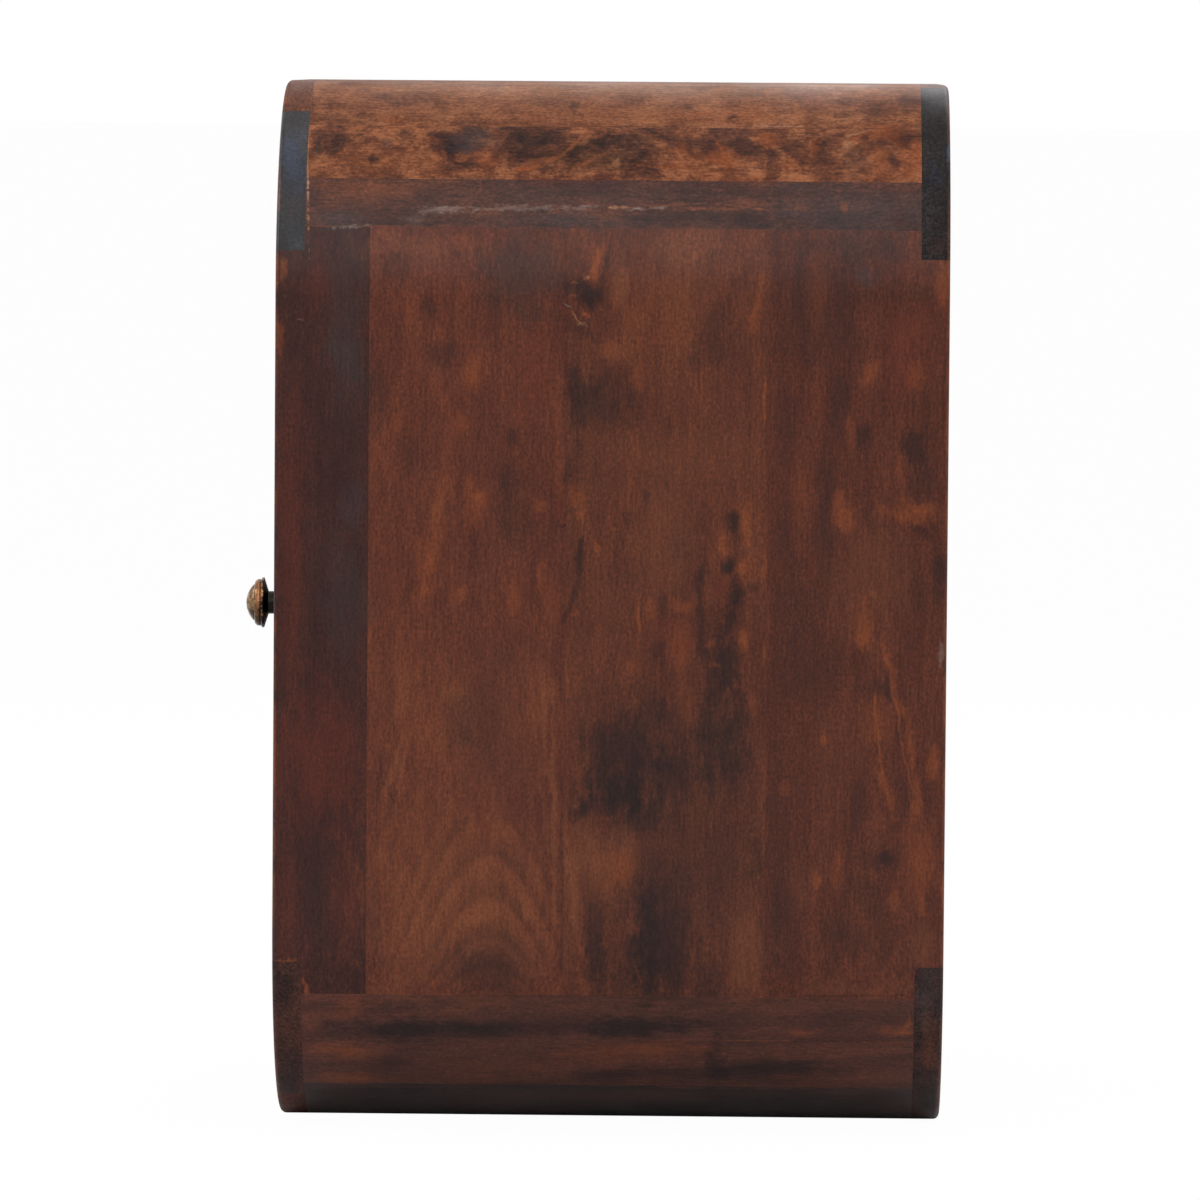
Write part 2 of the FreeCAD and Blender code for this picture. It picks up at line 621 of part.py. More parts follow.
def make_door_slab():
    """The glued-up door before it is parted into boards: its outline, its rounded edge and its holes."""
    body = new_body("door_slab")
    half_height = f"({MID_HEIGHT} - sizes.wall_thickness - sizes.door_gap)"
    outline = rounded_rectangle(body, DOOR_HALF_WIDTH, half_height, DOOR_RADIUS)
    pad(body, outline, "sizes.door_thickness", reverse=True)
    round_front(body, DOOR_RADIUS, ("0", "0"), "sizes.door_edge_round")
    cut_hinge_seats(body, f"-{DOOR_HALF_WIDTH}", 1, DOOR_FACE, MID_HEIGHT)
    through = "sizes.door_thickness + 2 * sizes.cut_overrun"
    radius = "(sizes.knob_screw_radius + sizes.knob_hole_clearance)"
    rod(body, "Subtractive", (KNOB_X, "-sizes.cut_overrun", "0"), "y", radius, through)
    start = (STRIKE_X, "sizes.door_thickness", f"{CATCH_Z} - {MID_HEIGHT}")
    radius = "(sizes.catch_screw_radius + sizes.screw_fit)"
    rod(body, "Subtractive", start, "-y", radius, "sizes.strike_screw_length")
    place(body, "0", DOOR_FACE, MID_HEIGHT)
    doc.recompute()
    return body


def make_door_board(slab, number, left, right):
    """One board of the door: what its plank has in common with the shaped slab."""
    plank = doc.addObject("Part::Box", f"door_plank_{number}")
    width = f"({right}) - ({left})"
    depth = "sizes.door_thickness + 2 * sizes.cut_overrun"
    bind(plank, Length=width, Width=depth, Height="sizes.cabinet_height")
    place(plank, left, f"{DOOR_FACE} - sizes.cut_overrun", "0")
    board = doc.addObject("Part::Common", f"door_board_{number}")
    board.Label = board.Name
    board.Base, board.Tool = slab, plank
    return keep(board)


def make_batten(name, sign):
    """A batten across the back of the door, with sloping ends."""
    body = new_body(f"{name}_door_batten")
    long, short = "sizes.batten_length / 2", "(sizes.batten_length / 2 - sizes.batten_bevel)"
    corners = (
        (f"-{long}", "0", None),
        (long, "0", None),
        (short, "sizes.batten_thickness", None),
        (f"-{short}", "sizes.batten_thickness", None),
    )
    pad(body, draw(body, corners, "XY_Plane"), "sizes.batten_width")
    middle = f"{MID_HEIGHT} + {sign} * ({ARC_SPAN} / 2 - sizes.batten_inset)"
    place(body, "0", DOOR_BACK, f"{middle} - sizes.batten_width / 2")
    return keep(body)


door_slab = make_door_slab()
HALF_BOARD = "sizes.door_board_width / 2"
make_door_board(door_slab, 1, f"-{DOOR_HALF_WIDTH} - sizes.cut_overrun", f"-{HALF_BOARD}")
make_door_board(door_slab, 2, f"-{HALF_BOARD}", HALF_BOARD)
make_door_board(door_slab, 3, HALF_BOARD, f"{DOOR_HALF_WIDTH} + sizes.cut_overrun")
for name, sign in HINGES.items():
    make_batten(name, sign)


# Knob and its screw

BEAD_RADIUS_SHARE = 0.59  # radius of the bead's face, in its chord
SCREW_TIP_SHARE = 0.5  # blunt tip of a screw, in its radius
HEAD_EDGE_SHARE = 0.6  # straight edge of a raised head, in its height
HEAD_TOP_SHARE = 0.7  # flat top of a raised head, in its radius


def make_knob():
    """A domed knob on a short stem: rim, bead and dome step up from the edge. Its axis is its own Z."""
    body = new_body("knob")
    bore = "(sizes.knob_screw_radius + sizes.screw_fit)"
    foot_radius = "(sizes.knob_stem_radius + sizes.knob_foot_flare)"
    foot_top = "(sizes.knob_foot_height + sizes.knob_foot_flare)"
    rim_low = "(sizes.knob_stem_height + sizes.knob_underside_height)"
    rim_high = f"({rim_low} + sizes.knob_rim_height)"
    step_radius = "(sizes.knob_rim_radius - sizes.knob_rim_slope_width)"
    step_height = f"({rim_high} + sizes.knob_rim_slope_height)"
    groove_radius = f"({step_radius} - sizes.knob_bead_width)"
    groove_height = f"({step_height} + sizes.knob_bead_height)"
    dome_edge = f"({groove_height} + sizes.knob_groove_height)"
    tip = f"({dome_edge} + sizes.knob_dome_height)"
    rise = "sizes.knob_dome_height"
    dome = f"(({rise} * {rise} + {groove_radius} * {groove_radius}) / (2 * {rise}))"
    corners = (
        (bore, "0", None),
        (foot_radius, "0", None),
        (foot_radius, "sizes.knob_foot_height", None),
        ("sizes.knob_stem_radius", foot_top, None),
        ("sizes.knob_stem_radius", "sizes.knob_stem_height", None),
        ("sizes.knob_rim_radius", rim_low, None),
        ("sizes.knob_rim_radius", rim_high, None),
        (step_radius, step_height, bulge((step_radius, step_height), (groove_radius, groove_height))),
        (groove_radius, groove_height, None),
        (groove_radius, dome_edge, arc_to(dome, "0", f"{tip} - {dome}", 1)),
        ("0", tip, None),
        ("0", "sizes.knob_bore_depth", None),
        (bore, "sizes.knob_bore_depth", None),
    )
    lathe(body, corners)
    place(body, KNOB_X, DOOR_FACE, MID_HEIGHT, axis=(1, 0, 0), turn=90)
    return keep(body)


def bulge(first, second):
    """An arc that bulges outwards between two points. Its radius follows their distance."""
    (x1, y1), (x2, y2) = first, second
    chord = f"sqrt(({x2} - {x1}) ^ 2 + ({y2} - {y1}) ^ 2)"
    back = math.sqrt(BEAD_RADIUS_SHARE**2 - 1 / 4)  # chord's middle to the arc's centre, in chords
    centre_x = f"({x1} + {x2}) / 2 - {back} * ({y2} - {y1})"
    centre_y = f"({y1} + {y2}) / 2 + {back} * ({x2} - {x1})"
    return arc_to(f"({BEAD_RADIUS_SHARE} * {chord})", centre_x, centre_y, 1)


def cut_slot(body, height, radius):
    """A screwdriver slot across a head whose top is at that height."""
    centre = ("0", "0", f"({height} + (sizes.cut_overrun - sizes.slot_depth) / 2)")
    length = f"(2 * {radius} + sizes.cut_overrun)"
    block(body, "Subtractive", centre, (length, "sizes.slot_width", "(sizes.slot_depth + sizes.cut_overrun)"))


def headed_screw(name, radius, length, head_radius, head_height):
    """A screw with a raised head that sits on the face z = 0. Its shank runs down, along its own -Z."""
    body = new_body(name)
    corners = (
        ("0", f"-{length}", None),
        (f"({SCREW_TIP_SHARE} * {radius})", f"-{length}", None),
        (radius, f"-{length} + {radius}", None),
        (radius, "0", None),
        (head_radius, "0", None),
        (head_radius, f"({HEAD_EDGE_SHARE} * {head_height})", None),
        (f"({HEAD_TOP_SHARE} * {head_radius})", head_height, None),
        ("0", head_height, None),
    )
    lathe(body, corners)
    cut_slot(body, head_height, head_radius)
    doc.recompute()
    return body


def countersunk_screw(name, radius, length, head_radius):
    """A screw whose flat head ends at z = 0. Its shank runs down, along its own -Z."""
    body = new_body(name)
    corners = (
        ("0", f"-{length}", None),
        (f"({SCREW_TIP_SHARE} * {radius})", f"-{length}", None),
        (radius, f"-{length} + {radius}", None),
        (radius, f"{radius} - {head_radius}", None),
        (head_radius, "0", None),
        ("0", "0", None),
    )
    lathe(body, corners)
    cut_slot(body, "0", head_radius)
    doc.recompute()
    return body


def countersink(body, face, along, radius, head_radius):
    """A countersunk hole for a screw, from a face into the body."""
    narrow, wide = f"({radius} + sizes.screw_fit)", f"({head_radius} + sizes.screw_fit)"
    depth = f"({head_radius} - {radius})"
    hole = body.newObject("PartDesign::SubtractiveCone", f"{body.Name}_countersink")
    bind(hole, Radius1=wide, Radius2=narrow, Height=depth)
    axis, turn = AXIS_TURNS[along]
    place(hole, *face, axis=axis, turn=turn)
    return hole


def make_knob_screw():
    length = "(sizes.door_thickness + sizes.knob_screw_grip)"
    head = ("sizes.knob_screw_head_radius", "sizes.knob_screw_head_height")
    body = headed_screw("knob_screw", "sizes.knob_screw_radius", length, *head)
    place(body, KNOB_X, DOOR_BACK, MID_HEIGHT, axis=(1, 0, 0), turn=-90)
    return keep(body)


make_knob()
make_knob_screw()


# Hinges

KNUCKLES = 5  # along one hinge, the outer ones on the cabinet's leaf
KNUCKLE_PITCH = f"(sizes.hinge_length / {KNUCKLES})"
KNUCKLE_LENGTH = f"({KNUCKLE_PITCH} - sizes.hinge_knuckle_gap)"
NOTCH_BACK = "(sizes.hinge_barrel_radius + sizes.hinge_notch_clearance)"


def make_hinge_leaf(name, sign, owner):
    """A leaf of a butt hinge: a plate with three countersunk holes, and its knuckles round the pin.

    The body's origin is the middle of the pin. The cabinet's leaf is left of it and the door's leaf right.
    """
    body = new_body(f"{name}_hinge_{owner}_leaf")
    side = -1 if owner == "cabinet" else 1
    mine = [n for n in range(KNUCKLES) if n % 2 == (0 if owner == "cabinet" else 1)]
    plate_x = f"({side} * (sizes.hinge_leaf_gap + sizes.hinge_leaf_thickness) / 2)"
    plate_width = f"(sizes.hinge_leaf_width - {NOTCH_BACK})"
    plate_y = f"({NOTCH_BACK} + {plate_width} / 2)"
    spans = ("sizes.hinge_leaf_thickness", plate_width, "sizes.hinge_length")
    block(body, "Additive", (plate_x, plate_y, "0"), spans)
    for n in mine:
        middle = f"({n - (KNUCKLES - 1) / 2} * {KNUCKLE_PITCH})"
        spans = ("sizes.hinge_leaf_thickness", NOTCH_BACK, KNUCKLE_LENGTH)
        block(body, "Additive", (plate_x, f"({NOTCH_BACK} / 2)", middle), spans)
        start = ("0", "0", f"{middle} - {KNUCKLE_LENGTH} / 2")
        rod(body, "Additive", start, "z", "sizes.hinge_barrel_radius", KNUCKLE_LENGTH)
    start = ("0", "0", "-sizes.hinge_length / 2 - sizes.cut_overrun")
    bore = "(sizes.hinge_pin_radius + sizes.hinge_pin_fit)"
    rod(body, "Subtractive", start, "z", bore, "(sizes.hinge_length + 2 * sizes.cut_overrun)")
    inwards = "x" if side > 0 else "-x"
    hole_radius = "(sizes.hinge_screw_radius + sizes.screw_fit)"
    face_x = f"({side} * sizes.hinge_leaf_gap / 2)"
    for step in (-1, 0, 1):
        face = (face_x, screw_set(step), f"{step} * {SCREW_SPREAD}")
        countersink(body, face, inwards, "sizes.hinge_screw_radius", HINGE_HEAD_RADIUS)
        rod(body, "Subtractive", face, inwards, hole_radius, "2 * sizes.hinge_leaf_thickness")
    place(body, HINGE_X, HINGE_Y, hinge_height(sign))
    return keep(body)


def make_hinge_pin(name, sign):
    """A pin with a button tip at each end."""
    body = new_body(f"{name}_hinge_pin")
    half = "sizes.hinge_length / 2"
    tip, radius = "sizes.hinge_tip_radius", "sizes.hinge_pin_radius"
    top = f"{half} + sizes.hinge_tip_height"
    corners = (
        ("0", f"-({top})", None),
        (radius, f"-({top})", None),
        (tip, f"-({half} + sizes.hinge_tip_height / 2)", None),
        (tip, f"-({half} + sizes.hinge_pin_fit)", None),
        (radius, f"-({half} + sizes.hinge_pin_fit)", None),
        (radius, f"{half} + sizes.hinge_pin_fit", None),
        (tip, f"{half} + sizes.hinge_pin_fit", None),
        (tip, f"{half} + sizes.hinge_tip_height / 2", None),
        (radius, top, None),
        ("0", top, None),
    )
    lathe(body, corners)
    place(body, HINGE_X, HINGE_Y, hinge_height(sign))
    return keep(body)


def group(name, template, places):
    """Copies of one piece, as separate solids that share a node."""
    copies = []
    for where in places:
        copy = template.Shape.copy()
        copy.Placement = where.multiply(copy.Placement)
        copies.append(copy)
    pieces = doc.addObject("Part::Feature", name)
    pieces.Label = name
    pieces.Shape = Part.makeCompound(copies)
    return keep(pieces)


def make_hinge_screws(template, owner):
    side = -1 if owner == "cabinet" else 1
    head_up = FreeCAD.Rotation(FreeCAD.Vector(0, 1, 0), -side * 90)  # heads face the closed hinge's gap
    places = []
    for sign in HINGES.values():
        for step in (-1, 0, 1):
            x = value(f"{HINGE_X} + {side} * sizes.hinge_leaf_gap / 2")
            y = value(f"{HINGE_Y} + {screw_set(step)}")
            z = value(f"{hinge_height(sign)} + {step} * {SCREW_SPREAD}")
            places.append(FreeCAD.Placement(FreeCAD.Vector(x, y, z), head_up))
    return group(f"{owner}_hinge_screws", template, places)


cut_hinge_seats(parts["left_side_board_1"], f"-{INNER}", -1, FRONT, OUTER)
hinge_screw = countersunk_screw(
    "hinge_screw", "sizes.hinge_screw_radius", "sizes.hinge_screw_length", HINGE_HEAD_RADIUS
)
for name, sign in HINGES.items():
    make_hinge_leaf(name, sign, "cabinet")
    make_hinge_leaf(name, sign, "door")
    make_hinge_pin(name, sign)
for owner in ("cabinet", "door"):
    make_hinge_screws(hinge_screw, owner)


# Magnetic catch

MAGNET_SPANS = (
    "(sizes.catch_reach - sizes.catch_flange_thickness - 2 * sizes.catch_wall - 2 * sizes.pole_thickness)",
    "(sizes.catch_depth - sizes.catch_wall)",
    "(sizes.catch_block_length - 2 * sizes.catch_wall)",
)
MAGNET_X = f"({STRIKE_X} - {CATCH_X})"  # middle of the magnet, seen from the middle of the catch
STRIKE_HEAD_RADIUS = "(sizes.catch_screw_radius + sizes.strike_thickness)"


def make_catch_case():
    """The housing: a flanged plate on the side wall, and a block that is hollowed from the front."""
    body = new_body("catch_case")
    plate_x = "((sizes.catch_reach - sizes.catch_flange_thickness) / 2)"
    plate_spans = ("sizes.catch_flange_thickness", "sizes.catch_depth", "sizes.catch_length")
    block(body, "Additive", (plate_x, "0", "0"), plate_spans)
    block_spans = ("sizes.catch_reach", "sizes.catch_depth", "sizes.catch_block_length")
    block(body, "Additive", ("0", "0", "0"), block_spans)
    width = f"({MAGNET_SPANS[0]} + 2 * sizes.pole_thickness + 2 * sizes.magnet_fit)"
    depth = f"({MAGNET_SPANS[1]} + sizes.cut_overrun)"
    height = f"({MAGNET_SPANS[2]} + 2 * sizes.magnet_fit)"
    centre_y = "(-(sizes.catch_wall + sizes.cut_overrun) / 2)"
    block(body, "Subtractive", (MAGNET_X, centre_y, "0"), (width, depth, height))
    start_x = "sizes.catch_reach / 2 - sizes.catch_flange_thickness - sizes.cut_overrun"
    radius = "(sizes.catch_screw_radius + sizes.screw_fit)"
    through = "sizes.catch_flange_thickness + 2 * sizes.cut_overrun"
    for sign in (-1, 1):
        start = (start_x, "0", f"{catch_screw_height(sign)} - {CATCH_Z}")
        rod(body, "Subtractive", start, "x", radius, through)
    place(body, CATCH_X, CATCH_Y, CATCH_Z)
    return keep(body)


def make_catch_magnet():
    """The magnet between its two steel plates, whose front edges stand out of the housing."""
    solids = []
    width, depth, height = (value(s) for s in MAGNET_SPANS)
    pole, proud, fit = (value(f"sizes.{s}") for s in ("pole_thickness", "pole_proud", "magnet_fit"))
    x, y, z = value(STRIKE_X), value(CATCH_FRONT), value(CATCH_Z)
    spans = [(x - width / 2, width, proud)]
    spans += [(x - width / 2 - pole, pole, -proud), (x + width / 2, pole, -proud)]
    for left, thick, start in spans:
        corner = FreeCAD.Vector(left, y + start, z - height / 2)
        solids.append(Part.makeBox(thick, depth - fit - start, height, corner))
    magnet = doc.addObject("Part::Feature", "catch_magnet")
    magnet.Label = magnet.Name
    magnet.Shape = Part.makeCompound(solids)
    return keep(magnet)


def make_catch_screws():
    names = ("radius", "length", "head_radius", "head_height")
    template = headed_screw("catch_screw", *(f"sizes.catch_screw_{n}" for n in names))
    inwards = FreeCAD.Rotation(FreeCAD.Vector(0, 1, 0), -90)
    x = value(f"{INSIDE_HALF} - sizes.catch_flange_thickness")
    places = []
    for sign in (-1, 1):
        where = FreeCAD.Vector(x, value(CATCH_Y), value(catch_screw_height(sign)))
        places.append(FreeCAD.Placement(where, inwards))
    return group("catch_screws", template, places)


def make_strike_plate():
    body = new_body("strike_plate")
    spans = ("sizes.strike_width", "sizes.strike_thickness", "sizes.strike_length")
    block(body, "Additive", ("0", "(-sizes.strike_thickness / 2)", "0"), spans)
    countersink(body, ("0", "0", "0"), "-y", "sizes.catch_screw_radius", STRIKE_HEAD_RADIUS)
    place(body, STRIKE_X, STRIKE_BACK, CATCH_Z)
    return keep(body)


def make_strike_screw():
    """Its head fills the plate's countersink, so that it clears the magnet."""
    length = "(sizes.strike_screw_length + sizes.strike_thickness)"
    body = countersunk_screw("strike_screw", "sizes.catch_screw_radius", length, STRIKE_HEAD_RADIUS)
    place(body, STRIKE_X, STRIKE_BACK, CATCH_Z, axis=(1, 0, 0), turn=-90)
    return keep(body)


make_catch_case()
make_catch_magnet()
make_catch_screws()
make_strike_plate()
make_strike_screw()
for sign in (-1, 1):
    board = parts["right_side_board_1"]
    start = (INNER, f"{CATCH_Y} - {FRONT}", f"{catch_screw_height(sign)} - {OUTER}")
    length = "(sizes.catch_screw_length - sizes.catch_flange_thickness)"
    rod(board, "Subtractive", start, "x", "(sizes.catch_screw_radius + sizes.screw_fit)", length)


# Check and write


def check_document():
    """Stops the build if any object failed or any sub-part is not a sound solid."""
    failed = [o.Name for o in doc.Objects if {"Invalid", "Error"} & set(o.State)]
    if failed:
        raise ValueError(f"these objects failed: {failed}")
    for name, piece in parts.items():
        shape = piece.Shape
        if shape.isNull() or not shape.isValid() or not shape.Solids:
            raise ValueError(f"{name} is not a sound solid")


doc.recompute()
check_document()
os.makedirs("parts", exist_ok=True)
for name, piece in parts.items():
    piece.Shape.exportStep(f"parts/{name}.step")
print(len(parts), "sub-parts written")
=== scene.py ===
# %% [markdown]
# # A bedside cabinet in stained hardwood
#
# The cabinet is a rounded box: upright boards at the sides, coopered corners of three staves each, end-grain
# blocks let into the front and back edges, one door and a small brass knob. The pieces come from the frame
# with their true shapes, so this lesson is about light and finish: one solid wood texture, turned and tinted
# for every board, stain that took unevenly, and lacquer that has rubbed through along the edges.

# %% Load the frame
import math

import bpy
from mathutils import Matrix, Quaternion, Vector


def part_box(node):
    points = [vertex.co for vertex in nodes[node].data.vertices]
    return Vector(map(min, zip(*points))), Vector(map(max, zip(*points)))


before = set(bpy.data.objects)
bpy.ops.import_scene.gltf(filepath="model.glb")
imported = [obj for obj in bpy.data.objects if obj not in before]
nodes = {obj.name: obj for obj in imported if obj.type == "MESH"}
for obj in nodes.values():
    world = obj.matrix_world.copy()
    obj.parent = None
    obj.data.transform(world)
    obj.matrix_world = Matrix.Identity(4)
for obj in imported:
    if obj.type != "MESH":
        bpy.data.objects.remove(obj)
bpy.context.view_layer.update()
cabinet_low, cabinet_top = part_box("right_side_board_1")[0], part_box("top_board_1")[1].z
print(len(nodes), "pieces, top at", round(cabinet_top, 3))

# %% [markdown]
# ## Where the camera stands
#
# The photo was taken from far away with a long lens, square to the right side and level with the cabinet's
# top, which shows as an edge. A long lens keeps the boards' edges almost parallel. A camera looks along its
# own -Z, so it is first turned to look along the sight line and then rolled about it.

# %% The camera
CAMERA_PLACE = Vector((4.733, 0.0825, 0.5621))
CAMERA_YAW = math.radians(1.1090)  # turned this far from square to the side
CAMERA_PITCH = math.radians(-3.5372)  # looking down
CAMERA_ROLL = math.radians(0.4313)
CAMERA_LENS = 262.353  # millimetres, for the sensor below
CAMERA_SENSOR = 36
CAMERA_REACH = 200  # metres


def make_camera():
    """The photographer's camera."""
    level = math.cos(CAMERA_PITCH)
    sight = Vector((-level * math.cos(CAMERA_YAW), -level * math.sin(CAMERA_YAW), math.sin(CAMERA_PITCH)))
    data = bpy.data.cameras.new("photo_camera")
    data.sensor_width = CAMERA_SENSOR
    data.lens = CAMERA_LENS
    data.clip_end = CAMERA_REACH
    camera = bpy.data.objects.new("photo_camera", data)
    camera.location = CAMERA_PLACE
    camera.rotation_mode = "QUATERNION"
    camera.rotation_quaternion = sight.to_track_quat("-Z", "Y") @ Quaternion((0, 0, 1), CAMERA_ROLL)
    bpy.context.scene.collection.objects.link(camera)
    bpy.context.scene.camera = camera
    return camera


make_camera()
bpy.context.scene.view_settings.view_transform = "Standard"

# %% [markdown]
# ## Small tools for node trees
#
# A material is a tree of nodes, and most of the work is adding a node and filling its sockets. These helpers
# do only that. A value that is itself a socket is linked, and anything else is typed in.

# %% Helpers that add nodes


def add(tree, kind, inputs=(), **settings):
    """Adds a node. inputs fills its sockets, in order or by name, and None leaves one as it is."""
    node = tree.nodes.new(kind)
    for name, setting in settings.items():
        setattr(node, name, setting)
    pairs = inputs.items() if isinstance(inputs, dict) else enumerate(inputs)
    for key, filling in pairs:
        if isinstance(filling, bpy.types.NodeSocket):
            tree.links.new(filling, node.inputs[key])
        elif filling is not None:
            node.inputs[key].default_value = filling
    return node


def maths(tree, operation, *values):
    return add(tree, "ShaderNodeMath", values, operation=operation).outputs[0]


def vectors(tree, operation, *values):
    """Vector arithmetic. A length comes out of the node's second socket."""
    node = add(tree, "ShaderNodeVectorMath", values, operation=operation)
    return node.outputs[1 if operation == "LENGTH" else 0]


def rise(tree, value, low, high):
    """A soft step: 0 up to low, 1 from high on. With low over high it falls instead."""
    return add(tree, "ShaderNodeMapRange", (value, low, high), interpolation_type="SMOOTHSTEP").outputs[0]


def ramp(tree, value, low, high, first=0.0, last=1.0):
    """A straight ramp from first at low to last at high."""
    return add(tree, "ShaderNodeMapRange", (value, low, high, first, last)).outputs[0]


def cloud(tree, place, scale, detail=2.0, roughness=0.5, distortion=0.0):
    """Soft noise, as a number and as a vector, with about scale lumps in a metre."""
    inputs = {"Vector": place, "Scale": scale, "Detail": detail}
    inputs |= {"Roughness": roughness, "Distortion": distortion}
    node = add(tree, "ShaderNodeTexNoise", inputs)
    return node.outputs[0], node.outputs[1]


def blend(tree, share, first, second, how="MIX"):
    """Mixes two colours."""
    node = add(tree, "ShaderNodeMix", {0: share, 6: first, 7: second}, data_type="RGBA", blend_type=how)
    return node.outputs[2]


def colour(red, green, blue):
    return (red, green, blue, 1.0)


# %% [markdown]
# ## A plain room
#
# The photo is a cut-out on white. So the world is white wherever the camera, a reflection or a view through
# something meets it, but it lights the wood at a softer level. The floor is pale and keeps a faint shadow.
# Wide lamps stand all round, because every side of the cabinet is looked at.

# %% World, floor and lamps
WORLD_LIGHT = 0.5  # how strongly the white room lights what stands in it
FLOOR_SIZE = 140.0  # metres
FLOOR_WHITE = 0.975  # share of the floor that the camera sees as plain white
FLOOR_COLOUR = colour(0.86, 0.86, 0.86)
WHITE = colour(1.0, 1.0, 1.0)


def make_world():
    """White to look at, softer as a light."""
    world = bpy.data.worlds.new("white_room")
    bpy.context.scene.world = world
    world.use_nodes = True
    tree = world.node_tree
    tree.nodes.clear()
    path = add(tree, "ShaderNodeLightPath").outputs
    seen = maths(tree, "MAXIMUM", path["Is Camera Ray"], path["Is Glossy Ray"])
    seen = maths(tree, "MAXIMUM", seen, path["Is Transmission Ray"])
    lighting = add(tree, "ShaderNodeBackground", (WHITE, WORLD_LIGHT)).outputs[0]
    looked_at = add(tree, "ShaderNodeBackground", (WHITE, 1.0)).outputs[0]
    mixed = add(tree, "ShaderNodeMixShader", (seen, lighting, looked_at)).outputs[0]
    add(tree, "ShaderNodeOutputWorld", (mixed,))


def make_floor():
    """A large pale floor under the cabinet."""
    half = FLOOR_SIZE / 2
    mesh = bpy.data.meshes.new("floor")
    corners = [(-half, -half, 0), (half, -half, 0), (half, half, 0), (-half, half, 0)]
    mesh.from_pydata(corners, [], [(0, 1, 2, 3)])
    floor = bpy.data.objects.new("floor", mesh)
    bpy.context.scene.collection.objects.link(floor)
    material = bpy.data.materials.new("pale_floor")
    material.use_nodes = True
    tree = material.node_tree
    tree.nodes.clear()
    path = add(tree, "ShaderNodeLightPath").outputs
    share = maths(tree, "MULTIPLY", path["Is Camera Ray"], FLOOR_WHITE)
    matt = add(tree, "ShaderNodeBsdfDiffuse", (FLOOR_COLOUR,)).outputs[0]
    white = add(tree, "ShaderNodeEmission", (WHITE, 1.0)).outputs[0]
    mixed = add(tree, "ShaderNodeMixShader", (share, matt, white)).outputs[0]
    add(tree, "ShaderNodeOutputMaterial", (mixed,))
    mesh.materials.append(material)


def make_lamp(name, place, size, watts):
    """A square soft lamp that faces the middle of the cabinet."""
    data = bpy.data.lights.new(name, "AREA")
    data.shape = "SQUARE"
    data.size = size
    data.energy = watts
    lamp = bpy.data.objects.new(name, data)
    lamp.location = place
    aim = Vector((0, 0, cabinet_top / 2)) - Vector(place)
    lamp.rotation_mode = "QUATERNION"
    lamp.rotation_quaternion = aim.to_track_quat("-Z", "Y")
    lamp.visible_camera = False
    bpy.context.scene.collection.objects.link(lamp)


LAMPS = (
    ("overhead_lamp", (0.3, 0.0, 2.7), 1.8, 14),
    ("right_lamp", (2.3, -0.6, 1.9), 2.4, 31),
    ("left_lamp", (-2.3, 0.6, 1.9), 1.4, 24),
    ("front_lamp", (0.4, -2.4, 1.5), 1.2, 24),
    ("back_lamp", (0.4, 2.4, 1.5), 1.2, 20),
)

make_world()
make_floor()
for lamp in LAMPS:
    make_lamp(*lamp)
print(len(LAMPS), "lamps")

# %% [markdown]
# ## Wood as a solid
#
# A veneer picture would not meet itself round the corners. Real boards are cut from a log, so the texture is
# a log too: growth rings about a pith line, fibres along the grain, and stain that soaked in unevenly. Each
# face then shows what a saw would have left: streaks along the grain, arches where the rings run nearly flat,
# and end grain across it. The group below is that log, with its grain along Z. A board turns its own
# coordinates before it asks for the wood, so one group serves all of them.

# %% The log
ALONG_CLOUD = (1.0, 1.0, 0.2)  # stain clouds are five times as long as wide
ALONG_MOTTLE = (1.0, 1.0, 0.4)
ALONG_STREAK = (1.0, 1.0, 0.06)
ALONG_FIBRE = (1.0, 1.0, 0.15)
ALONG_PORE = (1.0, 1.0, 0.7)
CLOUDS_PER_METRE = 16.0
MOTTLES_PER_METRE = 46.0
BURLS_PER_METRE = 62.0
STREAKS_PER_METRE = 190.0
FIBRES_PER_METRE = 700.0
PORES_PER_METRE = 720.0
BENDS_PER_METRE = 8.0
GRAIN_ROUGHNESS = 0.58  # of the noises that are stretched along the grain
BURL_NOISE = (4.0, 0.6, 0.5)  # detail, roughness and distortion of the burl's eyes
BURL_SPAN = (0.3, 0.7)
RING_DARKENS = (0.0, 0.2)  # a ring darkens over this share of its width
RING_CLEARS = (0.85, 0.2)  # and clears over this one, given from its end to its start
RINGS_SHOW = (0.3, 0.6)  # how well soaked the wood is where its rings start to show, and show fully
MOTTLE_RELIEF = 0.6  # share of the mottle in the relief, beside the fibre's
PORE_SHARE = 1.8  # how much of the fibre's contrast the pores have
EARLY_SHARE = 0.35  # how much of a ring's contrast lightens the wood between its dark lines
GRAIN_IN_TONE = 0.5  # how much of the grain shifts the tone under the marks
GRAIN_OVER = 0.75  # how much of it darkens and lightens wood and marks alike


def new_group(name, inputs, outputs):
    """An empty shader group. inputs and outputs map a socket's name to Float, Vector or Color."""
    group = bpy.data.node_groups.new(name, "ShaderNodeTree")
    for way, sockets in (("INPUT", inputs), ("OUTPUT", outputs)):
        for socket, kind in sockets.items():
            group.interface.new_socket(socket, in_out=way, socket_type=f"NodeSocket{kind}")
    return group, group.nodes.new("NodeGroupInput").outputs, group.nodes.new("NodeGroupOutput").inputs


